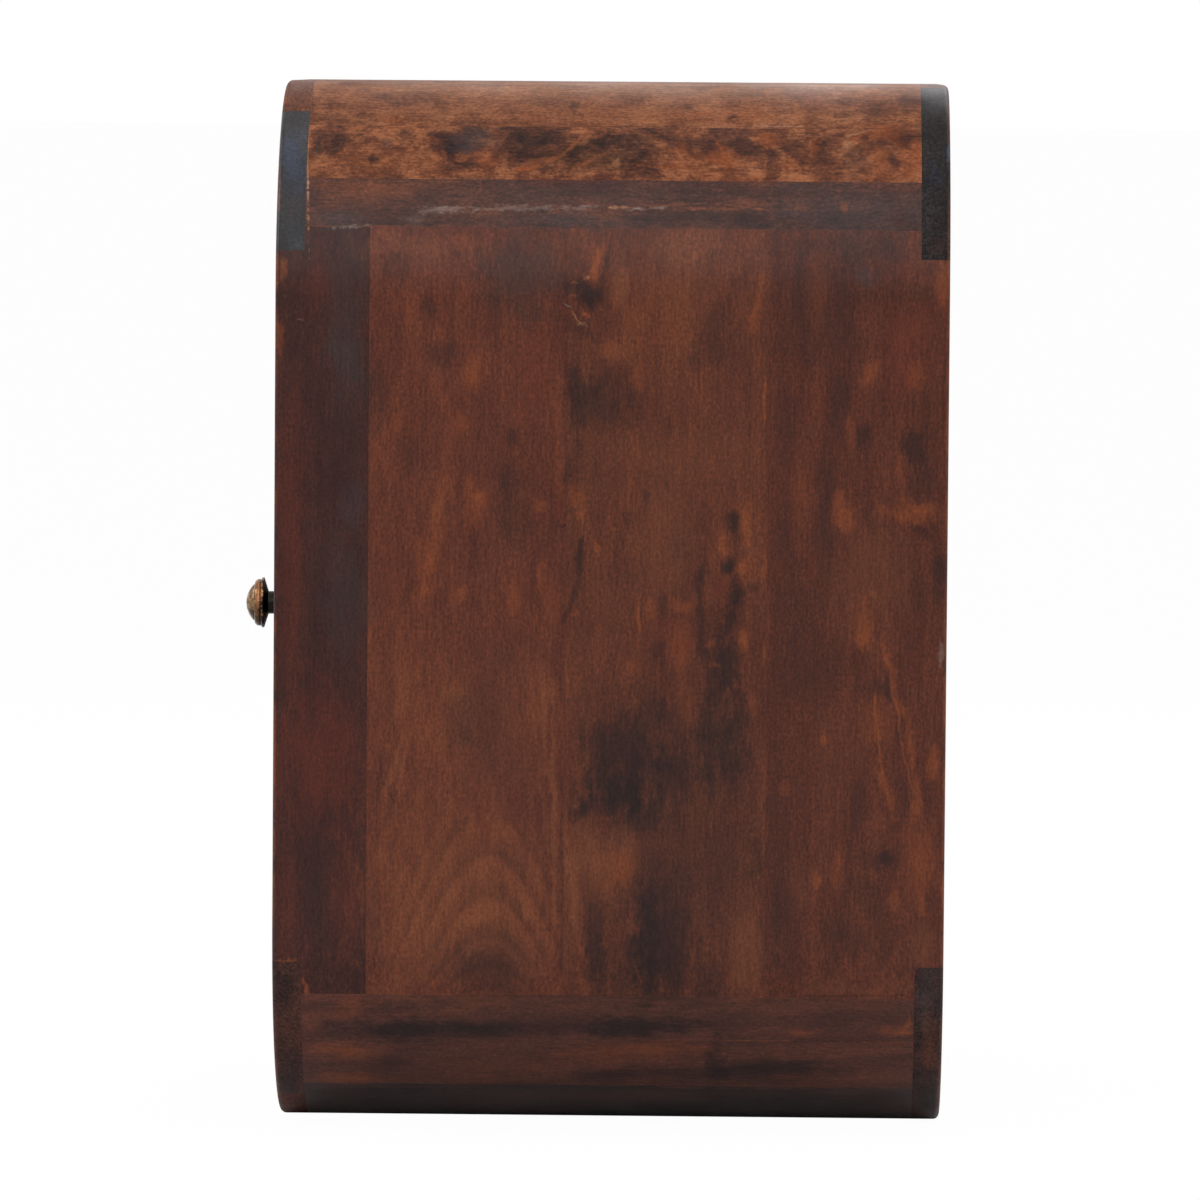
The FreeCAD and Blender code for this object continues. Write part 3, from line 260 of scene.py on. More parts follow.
def make_wood_group():
    """The solid wood that all boards are cut from."""
    inputs = {"Place": "Vector", "Seed": "Vector", "Pith": "Vector", "Lift": "Float", "Ring width": "Float"}
    inputs |= {"Bend": "Float", "Rings": "Float", "Clouds": "Float", "Mottle": "Float", "Burl": "Float"}
    inputs |= {"Streak": "Float", "Fibre": "Float"}
    inputs |= {"Dark": "Color", "Middle": "Color", "Light": "Color"}
    outputs = {"Colour": "Color", "Grain": "Float", "Height": "Float"}
    tree, given, made = new_group("stained_wood", inputs, outputs)
    seeded = vectors(tree, "ADD", given["Place"], given["Seed"])

    def stretched(stretch, scale, detail):
        place = vectors(tree, "MULTIPLY", seeded, stretch)
        return cloud(tree, place, scale, detail, GRAIN_ROUGHNESS)

    def about_zero(value, strength):
        centred = maths(tree, "SUBTRACT", value, 0.5)
        return maths(tree, "MULTIPLY", centred, strength)

    soak = stretched(ALONG_CLOUD, CLOUDS_PER_METRE, 2.0)[0]
    mottle = stretched(ALONG_MOTTLE, MOTTLES_PER_METRE, 5.0)[0]
    burl = rise(tree, cloud(tree, seeded, BURLS_PER_METRE, *BURL_NOISE)[0], *BURL_SPAN)
    streak = stretched(ALONG_STREAK, STREAKS_PER_METRE, 3.0)[0]
    fibre = stretched(ALONG_FIBRE, FIBRES_PER_METRE, 2.0)[0]
    pore = stretched(ALONG_PORE, PORES_PER_METRE, 2.0)[0]
    bend = vectors(tree, "SUBTRACT", stretched(ALONG_CLOUD, BENDS_PER_METRE, 1.0)[1], (0.5, 0.5, 0.5))
    wander = add(tree, "ShaderNodeVectorMath", {0: bend, 3: given["Bend"]}, operation="SCALE").outputs[0]
    from_pith = vectors(tree, "SUBTRACT", vectors(tree, "ADD", given["Place"], wander), given["Pith"])
    distance = vectors(tree, "LENGTH", vectors(tree, "MULTIPLY", from_pith, (1.0, 1.0, 0.0)))
    lifted = maths(tree, "ADD", distance, given["Lift"])
    turn = maths(tree, "FRACT", maths(tree, "DIVIDE", lifted, given["Ring width"]))
    late_wood = maths(tree, "MULTIPLY", rise(tree, turn, *RING_DARKENS), rise(tree, turn, *RING_CLEARS))
    late_wood = maths(tree, "MULTIPLY", late_wood, rise(tree, soak, *RINGS_SHOW))
    tone = maths(tree, "ADD", about_zero(soak, given["Clouds"]), about_zero(mottle, given["Mottle"]))
    tone = maths(tree, "ADD", tone, about_zero(burl, given["Burl"]))
    grain = maths(tree, "ADD", about_zero(streak, given["Streak"]), about_zero(fibre, given["Fibre"]))
    grain = maths(tree, "ADD", grain, about_zero(pore, maths(tree, "MULTIPLY", given["Fibre"], PORE_SHARE)))
    tone = maths(tree, "ADD", tone, maths(tree, "MULTIPLY", grain, GRAIN_IN_TONE))
    darker = maths(tree, "MULTIPLY", maths(tree, "SUBTRACT", late_wood, EARLY_SHARE), given["Rings"])
    tone = maths(tree, "ADD", maths(tree, "SUBTRACT", tone, darker), 0.5)
    lower = blend(tree, ramp(tree, tone, 0.0, 0.5), given["Dark"], given["Middle"])
    mixed = blend(tree, ramp(tree, tone, 0.5, 1.0), lower, given["Light"])
    tree.links.new(mixed, made["Colour"])
    tree.links.new(maths(tree, "ADD", maths(tree, "MULTIPLY", grain, GRAIN_OVER), 1.0), made["Grain"])
    relief = maths(tree, "ADD", fibre, maths(tree, "MULTIPLY", mottle, MOTTLE_RELIEF))
    tree.links.new(relief, made["Height"])
    return tree


WOOD = make_wood_group()
print("The log takes", [item.name for item in WOOD.interface.items_tree if item.in_out == "INPUT"])

# %% [markdown]
# ## The unrolled side
#
# The knot, the dark patches, the scuffs and some painted highlights and shadows give the cabinet its face,
# and some of them run on from a board to the stave above it. So their places are measured on the side as if
# its
# rounded corners were unrolled flat: how far back, and how far up along the skin. The group below does for a
# shader what the small function does for a corner of a mesh. It works for either side, because it drops the
# sign of X.

# %% Unrolling
MM = 0.001
SIDE_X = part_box("right_side_board_2")[1].x
STRAIGHT_TOP = max(v.co.z for v in nodes["right_side_board_2"].data.vertices if v.co.x > SIDE_X - 1e-6)
CORNER_RADIUS = cabinet_top - STRAIGHT_TOP
CORNER_X = SIDE_X - CORNER_RADIUS


def unroll(place):
    """How far back and how far up along the skin a place is."""
    flat = min(max(place.z, CORNER_RADIUS), STRAIGHT_TOP)
    turned = math.atan2(place.z - flat, abs(place.x) - CORNER_X)
    return place.y, flat + CORNER_RADIUS * turned


def make_unroll_group():
    """The same sum for a shader. The result lies in the YZ plane."""
    tree, given, made = new_group("unroll", {"Place": "Vector"}, {"Unrolled": "Vector"})
    split = add(tree, "ShaderNodeSeparateXYZ", (given["Place"],)).outputs
    flat = maths(tree, "MINIMUM", maths(tree, "MAXIMUM", split["Z"], CORNER_RADIUS), STRAIGHT_TOP)
    inward = maths(tree, "SUBTRACT", maths(tree, "ABSOLUTE", split["X"]), CORNER_X)
    turned = maths(tree, "ARCTAN2", maths(tree, "SUBTRACT", split["Z"], flat), inward)
    up = maths(tree, "ADD", flat, maths(tree, "MULTIPLY", turned, CORNER_RADIUS))
    tree.links.new(add(tree, "ShaderNodeCombineXYZ", (0.0, split["Y"], up)).outputs[0], made["Unrolled"])
    return tree


UNROLL = make_unroll_group()
print("Corner radius", round(CORNER_RADIUS, 4), "from", round(STRAIGHT_TOP, 4))

# %% [markdown]
# ## Marks on the wood
#
# Each mark is a soft ellipse with a ragged edge. It has a place, half sizes across and up, a lean, a tint and
# a strength, and a table of them reads like a sketch of the board. The group gives the share of the tint at a
# point. Its Take is noise along the grain, which lets the stain take more here and less there.

# %% The mark group
MARK_EDGE = (1.45, 0.2)  # where a mark is gone and where it is full, as shares of its half size


def make_mark_group():
    """How strongly a mark shows."""
    inputs = {"Place": "Vector", "Centre": "Vector", "Half size": "Vector", "Lean": "Float"}
    inputs |= {"Take": "Float", "Strength": "Float"}
    tree, given, made = new_group("mark", inputs, {"Share": "Float"})
    away = vectors(tree, "SUBTRACT", given["Place"], given["Centre"])
    turn = {"Vector": away, "Angle": given["Lean"]}
    upright = add(tree, "ShaderNodeVectorRotate", turn, rotation_type="X_AXIS", invert=True).outputs[0]
    far = vectors(tree, "LENGTH", vectors(tree, "DIVIDE", upright, given["Half size"]))
    share = rise(tree, maths(tree, "ADD", far, given["Take"]), *MARK_EDGE)
    tree.links.new(maths(tree, "MULTIPLY", share, given["Strength"]), made["Share"])
    return tree


MARK = make_mark_group()
MARK_SPREAD = 2  # half sizes from a mark's centre beyond which nothing of it shows
MARK_MARGIN = 3  # millimetres more, for the ragged edge


def reaches(row, low, high):
    """Whether a mark comes near a piece that spans low to high, all in millimetres."""
    across, up, half_across, half_up, lean = row[:5]
    cosine, sine = abs(math.cos(math.radians(lean))), abs(math.sin(math.radians(lean)))
    spread = (half_across * cosine + half_up * sine, half_up * cosine + half_across * sine)
    return all(
        low[way] - MARK_SPREAD * spread[way] - MARK_MARGIN
        < centre
        < high[way] + MARK_SPREAD * spread[way] + MARK_MARGIN
        for way, centre in enumerate((across, up))
    )


def marks_near(name, table):
    """The marks of a table that come near a piece of the frame."""
    places = [unroll(vertex.co) for vertex in nodes[name].data.vertices]
    low = [min(place[way] for place in places) / MM for way in (0, 1)]
    high = [max(place[way] for place in places) / MM for way in (0, 1)]
    return [row for row in table if reaches(row, low, high)]


# %% [markdown]
# ## The stain's colours
#
# Stained wood seen through lacquer is far more saturated than it looks: the lacquer adds a grey veil of
# reflected room, so the colours below are deeper than those in the photo. They are light shares, not screen
# values. The two painted tints and the blue cast of the end grain stand in for reflections of a cool sky.

# %% Tints and tones
NEAR_BLACK = colour(0.010, 0.006, 0.006)
DARK = colour(0.026, 0.010, 0.008)
GREY_BROWN = colour(0.030, 0.018, 0.016)
RED_BROWN = colour(0.085, 0.016, 0.009)
TAN = colour(0.160, 0.050, 0.020)
ORANGE = colour(0.200, 0.050, 0.015)
HONEY = colour(0.34, 0.150, 0.070)
PALE = colour(0.30, 0.22, 0.19)
SLATE = colour(0.036, 0.031, 0.033)
# Painted reflections: a cool blue sheen and a blue-white highlight, laid on the end blocks as tints.
PAINTED_BLUE_SHEEN = colour(0.026, 0.032, 0.055)
PAINTED_SKY_HIGHLIGHT = colour(0.09, 0.12, 0.19)

DEEP = (colour(0.017, 0.006, 0.006), colour(0.037, 0.011, 0.008), colour(0.071, 0.018, 0.011))
BROWN = (colour(0.042, 0.012, 0.008), colour(0.084, 0.021, 0.011), colour(0.145, 0.040, 0.016))
AMBER = (colour(0.042, 0.012, 0.009), colour(0.082, 0.022, 0.011), colour(0.140, 0.040, 0.016))
RUSSET = (colour(0.035, 0.010, 0.007), colour(0.070, 0.018, 0.010), colour(0.128, 0.034, 0.014))
GOLDEN = (colour(0.085, 0.028, 0.014), colour(0.150, 0.052, 0.024), colour(0.23, 0.088, 0.040))
FIGURED = (colour(0.040, 0.015, 0.011), colour(0.118, 0.039, 0.019), colour(0.25, 0.090, 0.040))
SHADED = (colour(0.021, 0.009, 0.007), colour(0.046, 0.016, 0.011), colour(0.092, 0.031, 0.018))
FOOT = (colour(0.021, 0.009, 0.008), colour(0.060, 0.020, 0.014), colour(0.112, 0.034, 0.020))
SOLE = (colour(0.012, 0.008, 0.008), colour(0.028, 0.015, 0.014), colour(0.052, 0.023, 0.018))
# The blue cast in these tones is a painted reflection of a cool sky on the black-stained end grain.
END_GRAIN_WITH_PAINTED_SHEEN = (colour(0.010, 0.010, 0.011), colour(0.019, 0.018, 0.021), colour(0.032, 0.030, 0.036))
DARK_END_GRAIN = (colour(0.006, 0.005, 0.005), colour(0.015, 0.012, 0.012), colour(0.031, 0.024, 0.024))
WARM_END_GRAIN = (colour(0.009, 0.005, 0.005), colour(0.034, 0.014, 0.011), colour(0.070, 0.024, 0.016))
RAIL_END = (colour(0.045, 0.016, 0.010), colour(0.095, 0.033, 0.018), colour(0.16, 0.062, 0.034))

# %% [markdown]
# ## Lacquered boards
#
# One function makes every wooden material. It turns the coordinates so that the grain lies along the log,
# gives the board its own part of the log, lays its marks on, rubs the finish through along its long edges and
# puts lacquer over the lot. The shine that is the same all over is typed into the shader's own sockets.

# %% A material for a board
AXIS_ORDER = {"x": "YZX", "y": "XZY", "z": "XYZ"}  # which coordinates go across, across and along the log
RAGGED_WAVES = ((55.0, 0.009), (330.0, 0.004))  # lumps in a metre, and the metres that they shift an edge
RAGGED_ALONG, RAGGED_ACROSS = 2.0, 0.7  # how those metres stretch along and across the grain
NOISE_SPAN = (0.3, 0.7)  # where most values of a noise lie
TAKE_NOISE = (3.0, 0.65)  # detail and roughness
ALONG_LUMP = (1.0, 1.0, 0.5)
ALONG_TAKE = (1.0, 1.0, 0.45)
LUMPS_PER_METRE = 120.0
TAKES_PER_METRE = 480.0
LUMP_TAKE = 0.4  # shares of a mark's half size
STREAK_TAKE = 0.22
LINE_TAKE = 1.0
EDGE_RUB = 0.0022  # metres of rubbed edge
LACQUER_SHINE = 0.135
COAT = 0.05
COAT_ROUGHNESS = 0.16
LACQUER_ROUGHNESS = (0.30, 0.46)
GRAIN_RELIEF = 0.00025  # metres
GRAIN_BUMP = 0.5  # share of that relief
SMEARS_PER_METRE = 24.0  # how the lacquer's dullness varies
DASHES_PER_METRE = 38.0
DASH_SPAN = (0.4, 0.6)
SEED_STEP = (1.7, 2.3, 0.9)  # from one board's part of the log to the next board's
FRONT_EDGE, BACK_EDGE = cabinet_low.y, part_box("right_side_board_4")[1].y


def new_material(name, **sockets):
    """An empty material with a Principled shader. sockets hold what is the same all over."""
    material = bpy.data.materials.new(name)
    material.use_nodes = True
    tree = material.node_tree
    tree.nodes.clear()
    values = {key.replace("_", " ").title().replace("Ior", "IOR"): number for key, number in sockets.items()}
    shader = add(tree, "ShaderNodeBsdfPrincipled", values)
    add(tree, "ShaderNodeOutputMaterial", (shader.outputs[0],))
    return material, tree, shader


def reorder(tree, place, order):
    """Swaps the coordinates of a place."""
    split = add(tree, "ShaderNodeSeparateXYZ", (place,)).outputs
    return add(tree, "ShaderNodeCombineXYZ", [split["XYZ".index(letter)] for letter in order]).outputs[0]


def ragged(tree, place, grain):
    """The same place with a wandering error, so that no edge looks drawn with a ruler."""
    longer = Vector((0.0, RAGGED_ACROSS, RAGGED_ACROSS))
    if grain != "x":
        longer["xyz".index(grain)] = RAGGED_ALONG
    for lumps, reach in RAGGED_WAVES:
        error = vectors(tree, "SUBTRACT", cloud(tree, place, lumps, 2.0)[1], (0.5, 0.5, 0.5))
        place = vectors(tree, "ADD", place, vectors(tree, "MULTIPLY", error, longer * reach))
    return place


def uneven_take(tree, turned, stretch, per_metre, strength):
    """How unevenly a mark takes: noise about zero, stretched along the grain."""
    stretched = vectors(tree, "MULTIPLY", turned, stretch)
    noise = cloud(tree, stretched, per_metre, *TAKE_NOISE)[0]
    return ramp(tree, noise, *NOISE_SPAN, -strength, strength)


def lay_marks(tree, paint, place, take, rows):
    """Blends the tints of some marks over the paint, one after another."""
    for across, up, half_across, half_up, lean, tint, strength in rows:
        found = {"Place": place, "Centre": (0.0, across * MM, up * MM), "Lean": math.radians(lean)}
        found |= {"Half size": (1.0, half_across * MM, half_up * MM), "Take": take, "Strength": strength}
        share = add(tree, "ShaderNodeGroup", found, node_tree=MARK).outputs[0]
        paint = blend(tree, share, paint, tint)
    return paint


def rub_edges(tree, place, paint, strength):
    """Lets bare wood show along the front and back edges, in dashes."""
    along = add(tree, "ShaderNodeSeparateXYZ", (place,)).outputs["Y"]
    front = rise(tree, along, FRONT_EDGE + EDGE_RUB, FRONT_EDGE + EDGE_RUB / 3)
    back = rise(tree, along, BACK_EDGE - EDGE_RUB, BACK_EDGE - EDGE_RUB / 3)
    dashes = rise(tree, cloud(tree, place, DASHES_PER_METRE, 3.0)[0], *DASH_SPAN)
    share = maths(tree, "MULTIPLY", maths(tree, "MAXIMUM", front, back), dashes)
    return blend(tree, maths(tree, "MULTIPLY", share, strength), paint, ORANGE)


def wood_material(
    name,
    grain,
    number,
    tones=BROWN,
    pith=(0.05, 0.0, 0.0),
    ring_width=0.011,
    rings=0.28,
    clouds=1.1,
    mottle=0.8,
    burl=0.0,
    streak=0.5,
    fibre=0.8,
    taper=0.04,
    bend=0.02,
    arches=None,
    patches=(),
    lines=(),
    flat=None,
    rub=0.5,
    shine=LACQUER_SHINE,
    coat=COAT,
    roughness=LACQUER_ROUGHNESS,
):
    """Lacquered wood for one board. number picks the part of the log, and arches shapes its rings.

    patches and lines are rows of marks on the unrolled side. A flat board has its own: flat names the
    coordinates that go into it, across it and up it.
    """
    sockets = dict(specular_ior_level=shine, coat_weight=coat, coat_roughness=COAT_ROUGHNESS)
    material, tree, shader = new_material(name, **sockets)
    place = add(tree, "ShaderNodeTexCoord").outputs["Object"]
    turned = reorder(tree, place, AXIS_ORDER[grain])
    height = add(tree, "ShaderNodeSeparateXYZ", (turned,)).outputs["Z"]
    lifted = maths(tree, "MULTIPLY", height, taper)
    if arches:
        lifted, rings = arches(tree, place, height)
    seed = [step * number for step in SEED_STEP]
    inputs = {"Place": turned, "Seed": seed, "Pith": pith, "Lift": lifted, "Ring width": ring_width}
    inputs |= {"Bend": bend, "Rings": rings, "Clouds": clouds, "Mottle": mottle}
    inputs |= {"Burl": burl, "Streak": streak, "Fibre": fibre}
    inputs |= {"Dark": tones[0], "Middle": tones[1], "Light": tones[2]}
    wood = add(tree, "ShaderNodeGroup", inputs, node_tree=WOOD).outputs
    paint = wood["Colour"]
    if patches or lines:
        if flat:
            spread = vectors(tree, "MULTIPLY", reorder(tree, place, flat), (0.0, 1.0, 1.0))
        else:
            spread = add(tree, "ShaderNodeGroup", {"Place": place}, node_tree=UNROLL).outputs[0]
        lumps = uneven_take(tree, turned, ALONG_LUMP, LUMPS_PER_METRE, LUMP_TAKE)
        streaks = uneven_take(tree, turned, ALONG_TAKE, TAKES_PER_METRE, STREAK_TAKE)
        patch_take = maths(tree, "ADD", lumps, streaks)
        line_take = uneven_take(tree, turned, ALONG_TAKE, TAKES_PER_METRE, LINE_TAKE)
        torn = ragged(tree, spread, "z" if flat else grain)
        paint = lay_marks(tree, paint, torn, patch_take, patches)
        paint = lay_marks(tree, paint, spread, line_take, lines)
    if rub:
        paint = rub_edges(tree, place, paint, rub)
    paint = add(tree, "ShaderNodeVectorMath", {0: paint, 3: wood["Grain"]}, operation="SCALE").outputs[0]
    smear = cloud(tree, place, SMEARS_PER_METRE, 3.0, 0.6)[0]
    dull = ramp(tree, smear, *NOISE_SPAN, *roughness)
    bump = {"Strength": GRAIN_BUMP, "Distance": GRAIN_RELIEF, "Height": wood["Height"]}
    tree.links.new(paint, shader.inputs["Base Color"])
    tree.links.new(dull, shader.inputs["Roughness"])
    tree.links.new(add(tree, "ShaderNodeBump", bump).outputs[0], shader.inputs["Normal"])
    return material


def dress(node, material):
    """Gives a piece of the frame its finish."""
    nodes[node].material_slots[0].material = material


# %% [markdown]
# ## The right side
#
# This is the side that the photo shows. Four upright boards, each from another plank: the front one is the
# darkest, the second has cathedral arches near its foot, the third is the lightest and carries a knot and the
# large dark patches, and the last is reddish with orange flecks. A row of a table says how far back, how far
# up, half sizes, lean in degrees, tint and strength, in millimetres.

# %% Marks of the right side
STAVE_PATCHES = (
    (-142.8, 545.5, 17, 5.4, 0, DARK, 0.3),
    (-133, 547.4, 3.9, 4.6, 0, DARK, 0.4),
    (-118.2, 545.4, 6.5, 4.9, 0, ORANGE, 0.35),
    (-52.9, 550.5, 4.5, 4.8, 0, DARK, 0.4),
    (-2.4, 551.7, 46.6, 9.8, 0, TAN, 0.35),
    (-21.1, 554.9, 1.3, 12.6, 12, DARK, 0.45),
    (-21.5, 560.8, 2.6, 4, 0, DARK, 0.45),
    (64.6, 552.4, 22, 7.9, 0, ORANGE, 0.35),
    (62.5, 550.1, 2.6, 3.8, 0, NEAR_BLACK, 0.75),
    (50.9, 559.6, 6, 0.8, -15, DARK, 0.3),
    (135.3, 555.6, 5.8, 12, 0, DARK, 0.5),
    (153.7, 570.1, 6.3, 13.7, 0, DARK, 0.5),
    (121.9, 552.4, 5.5, 3.5, 0, DARK, 0.6),
    (64.9, 580.8, 52.6, 9, 0, GREY_BROWN, 0.3),
    # Painted highlight: two pale bands along the very top, where the light grazes the rounded edge.
    (-9, 583, 164, 9, 0, HONEY, 0.3),
    (-9, 598, 164, 5, 0, HONEY, 0.4),
    (-120.7, 514.5, 32, 8.3, 0, TAN, 0.4),
    (-132.9, 532.3, 5.5, 4.6, 0, DARK, 0.55),
    (-107.8, 533.4, 3.9, 5.5, 0, NEAR_BLACK, 0.6),
    (-120.6, 526.4, 2.9, 4.4, 0, SLATE, 0.4),
    (-156.3, 522.9, 2.1, 7.4, 0, GREY_BROWN, 0.7),
    (-127.3, 516.2, 3.1, 4.4, 0, NEAR_BLACK, 0.75),
    (-86.8, 530, 2.9, 8.3, 0, NEAR_BLACK, 0.6),
    (-86.2, 517.9, 2.6, 3.7, 0, NEAR_BLACK, 0.7),
    (-80.4, 524, 7, 6.4, 0, NEAR_BLACK, 0.65),
    (-76.1, 530.1, 12.5, 8.3, 0, DARK, 0.6),
    (-65.6, 516.1, 1.8, 3, 0, DARK, 0.5),
    (-69.2, 515.4, 5.5, 9.3, 0, ORANGE, 0.35),
    (-45.7, 527, 17.2, 11.8, 0, NEAR_BLACK, 0.7),
    (-60.9, 518.9, 2.3, 2.4, 0, TAN, 0.5),
    (-8.8, 518.9, 30, 12.3, 0, NEAR_BLACK, 0.62),
    (6.9, 530.3, 16.7, 9.1, 0, NEAR_BLACK, 0.5),
    (-39.9, 512.8, 13.7, 2.1, 23, TAN, 0.6),
    (-20.2, 527.5, 1, 12.9, -39, TAN, 0.5),
    (-12.7, 515.7, 8.2, 1, 41, TAN, 0.35),
    (0.7, 513.5, 2, 3.8, 0, HONEY, 0.5),
    (43.8, 516.5, 19.5, 9.4, 0, ORANGE, 0.25),
    (55, 516.5, 7.3, 8.1, 0, ORANGE, 0.5),
    (38.4, 515.8, 2.1, 3, 0, TAN, 0.5),
    (33.8, 525.5, 3.9, 4.7, 0, ORANGE, 0.3),
    (44.5, 526.8, 6.8, 6.6, 0, DARK, 0.5),
    (52.5, 531.4, 0.8, 7.3, 19, DARK, 0.5),
    (65.8, 528.7, 6.3, 9, 0, DARK, 0.6),
    (80.2, 531.8, 6.5, 6.9, 0, ORANGE, 0.5),
    (83.9, 521.8, 3.4, 3.9, 0, DARK, 0.5),
    (91.7, 526.2, 3.9, 6.2, 0, DARK, 0.4),
    (102.1, 525.3, 3.9, 7.2, 0, ORANGE, 0.55),
    (91.7, 514.4, 3.9, 4.3, 0, ORANGE, 0.4),
    (107.8, 521.7, 11.7, 16.5, 0, DARK, 0.3),
    (140.4, 521.9, 20.8, 20.1, 0, ORANGE, 0.38),
    (122.9, 527.9, 2.9, 4.1, 0, HONEY, 0.7),
    (128.7, 523.2, 3.1, 9.9, -34, DARK, 0.6),
    (140.9, 522, 2.9, 11.6, 36, DARK, 0.6),
    (147.4, 534.1, 7, 7.1, -25, DARK, 0.5),
    (148.7, 514.9, 3.6, 3.6, 0, DARK, 0.4),
    (136.7, 521, 4.2, 5.2, 0, TAN, 0.45),
    (152, 505.9, 2.3, 2.2, 0, TAN, 0.6),
    (-74.5, 528.3, 10.4, 9.3, 0, SLATE, 0.5),
    (-20, 520.9, 18.7, 3.1, 40, NEAR_BLACK, 0.55),
    (6.5, 523.3, 12, 15.3, 0, NEAR_BLACK, 0.3),
    (50.2, 526.3, 8.9, 8, 0, DARK, 0.4),
    (68, 525, 6.3, 7.2, 0, DARK, 0.35),
    (125.3, 517.3, 5.7, 9.5, 0, GREY_BROWN, 0.55),
    (144.5, 518.2, 4.2, 8.8, 0, GREY_BROWN, 0.5),
    (136.7, 528.8, 7.8, 3.4, 0, GREY_BROWN, 0.45),
    (138.3, 518.6, 5.2, 6.8, 0, TAN, 0.5),
    (157.3, 522, 3.9, 17.6, 0, ORANGE, 0.35),
    (141.4, 536.3, 7.3, 4.8, 0, ORANGE, 0.4),
    (-108.1, 499.3, 33.3, 4.5, 0, TAN, 0.22),
    (-22.8, 502.2, 26, 3, 0, RED_BROWN, 0.3),
    (68.1, 503.6, 28.6, 2.5, 0, ORANGE, 0.18),
    (50.2, 483.1, 36.3, 5, 0, NEAR_BLACK, 0.3),
    (-92.6, 481.9, 18.2, 5, 0, DARK, 0.2),
    (-128.8, 495.9, 28.1, 7.1, 0, ORANGE, 0.22),
    (-48.4, 479.8, 62.3, 3.6, 0, DARK, 0.35),
    (121.5, 480.9, 29.8, 4.4, 0, DARK, 0.3),
    (60.4, 494.9, 88.3, 3.2, 0, DARK, 0.2),
    (-131, 491.4, 26.8, 10.4, 0, TAN, 0.14),
    (-124.4, 498.8, 8.6, 3.6, 0, TAN, 0.3),
    (-142.4, 479, 14, 4.1, 0, SLATE, 0.35),
    (-9.7, 494.3, 85.7, 6.7, 0, GREY_BROWN, 0.3),
    (120.2, 487.5, 44.1, 15.3, 0, SLATE, 0.34),
    (-18.8, 480.3, 24.9, 4.4, 0, SLATE, 0.35),
    (44.2, 480.8, 38.1, 4.4, 0, NEAR_BLACK, 0.5),
    # Faint pale marks on the ridge: partly scuffed lacquer, partly a painted highlight.
    (-101.6, 480.1, 6.5, 2.8, 0, PALE, 0.08),
    (-92.6, 484.6, 7.3, 2.2, 0, PALE, 0.1),
    (67.2, 490.3, 11.9, 3.2, 0, TAN, 0.4),
    (121.5, 488.2, 2.3, 2.8, 0, TAN, 0.6),
    (99.2, 487.7, 3.9, 1.4, 0, TAN, 0.3),
)
STAVE_LINES = (
    # Pale lines along a ridge on the corner's lowest stave: partly scuffed lacquer, partly a painted
    # highlight.
    (-86.9, 485.1, 13.5, 2, 2, PALE, 0.24),
    (-52.4, 486.1, 24.7, 1.5, 1, PALE, 0.2),
    (-15.8, 486.8, 11.9, 0.8, 1, PALE, 0.18),
    (1.6, 486.7, 4.4, 0.8, -1, HONEY, 0.5),
    (11.7, 486.4, 3.6, 0.9, 0, PALE, 0.45),
    (24.2, 486.7, 4.2, 0.8, 2, PALE, 0.35),
    (55.8, 486.5, 23.9, 1, 0, TAN, 0.5),
    (-136.3, 475, 7.5, 1, 2, PALE, 0.3),
    (-150.9, 475.1, 8.6, 0.3, 0, ORANGE, 0.5),
    (-121.3, 475.7, 10.6, 0.3, 1, ORANGE, 0.5),
    (84.8, 541.9, 12.3, 0.4, 1, PALE, 0.35),
    (-10.6, 540.1, 49.6, 0.4, 1, DARK, 0.5),
    (75.1, 505.1, 7, 0.4, 1, ORANGE, 0.6),
    (133.3, 505.4, 12.2, 0.4, -1, ORANGE, 0.6),
    (-69.7, 504.2, 83.2, 0.4, 1, DARK, 0.35),
    (-159.6, 511.6, 0.6, 36.3, 2, HONEY, 0.5),
    (-159, 499.4, 0.5, 9.6, 2, PALE, 0.4),
    (-159.7, 571.7, 0.3, 20.1, 3, DARK, 0.4),
    (160.8, 544.2, 0.4, 39.8, 0, ORANGE, 0.4),
    (163.9, 495.8, 0.5, 6.2, 0, PALE, 0.22),
    (-73.4, 518.5, 11, 1.3, 30, TAN, 0.7),
    (-45.9, 509.1, 7.6, 1.3, 18, ORANGE, 0.9),
    (-33, 515.1, 8, 1.3, 33, TAN, 0.8),
    (-21, 526.2, 1, 9.4, -38, TAN, 0.75),
    (-13.9, 536, 0.8, 3.7, -29, TAN, 0.6),
    (-13.9, 514, 9.4, 1, 37, TAN, 0.55),
    (55.7, 523.4, 0.8, 7.7, 23, ORANGE, 0.7),
    (54.8, 511.7, 1, 6, -40, TAN, 0.7),
    (50.4, 511, 5.9, 0.8, 13, HONEY, 0.3),
    (126.8, 536.4, 7.9, 1, 22, HONEY, 0.45),
    (125.8, 532.9, 6.1, 0.8, 31, ORANGE, 0.8),
    (141.4, 532.8, 9.3, 1, -38, TAN, 0.6),
    (150.2, 515.5, 1, 8.8, 10, TAN, 0.5),
    (77.3, 527.1, 1, 4.5, 36, TAN, 0.5),
    (29, 511.1, 15.7, 1, -5, ORANGE, 0.5),
    (-111, 526.4, 7.4, 0.8, 12, TAN, 0.5),
    (-137.2, 516.1, 11.9, 1.3, 25, TAN, 0.5),
    (-97.4, 508.9, 12.1, 1, -6, TAN, 0.5),
    (-128.1, 537.8, 26.1, 0.5, 1, ORANGE, 0.5),
    (33.7, 551.6, 21, 0.8, 6, ORANGE, 0.5),
    (112.2, 552.7, 15.9, 0.8, -10, TAN, 0.5),
    (65.7, 488, 10.5, 0.8, -7, TAN, 0.5),
    (29.3, 488.5, 15.6, 0.5, 3, TAN, 0.4),
)
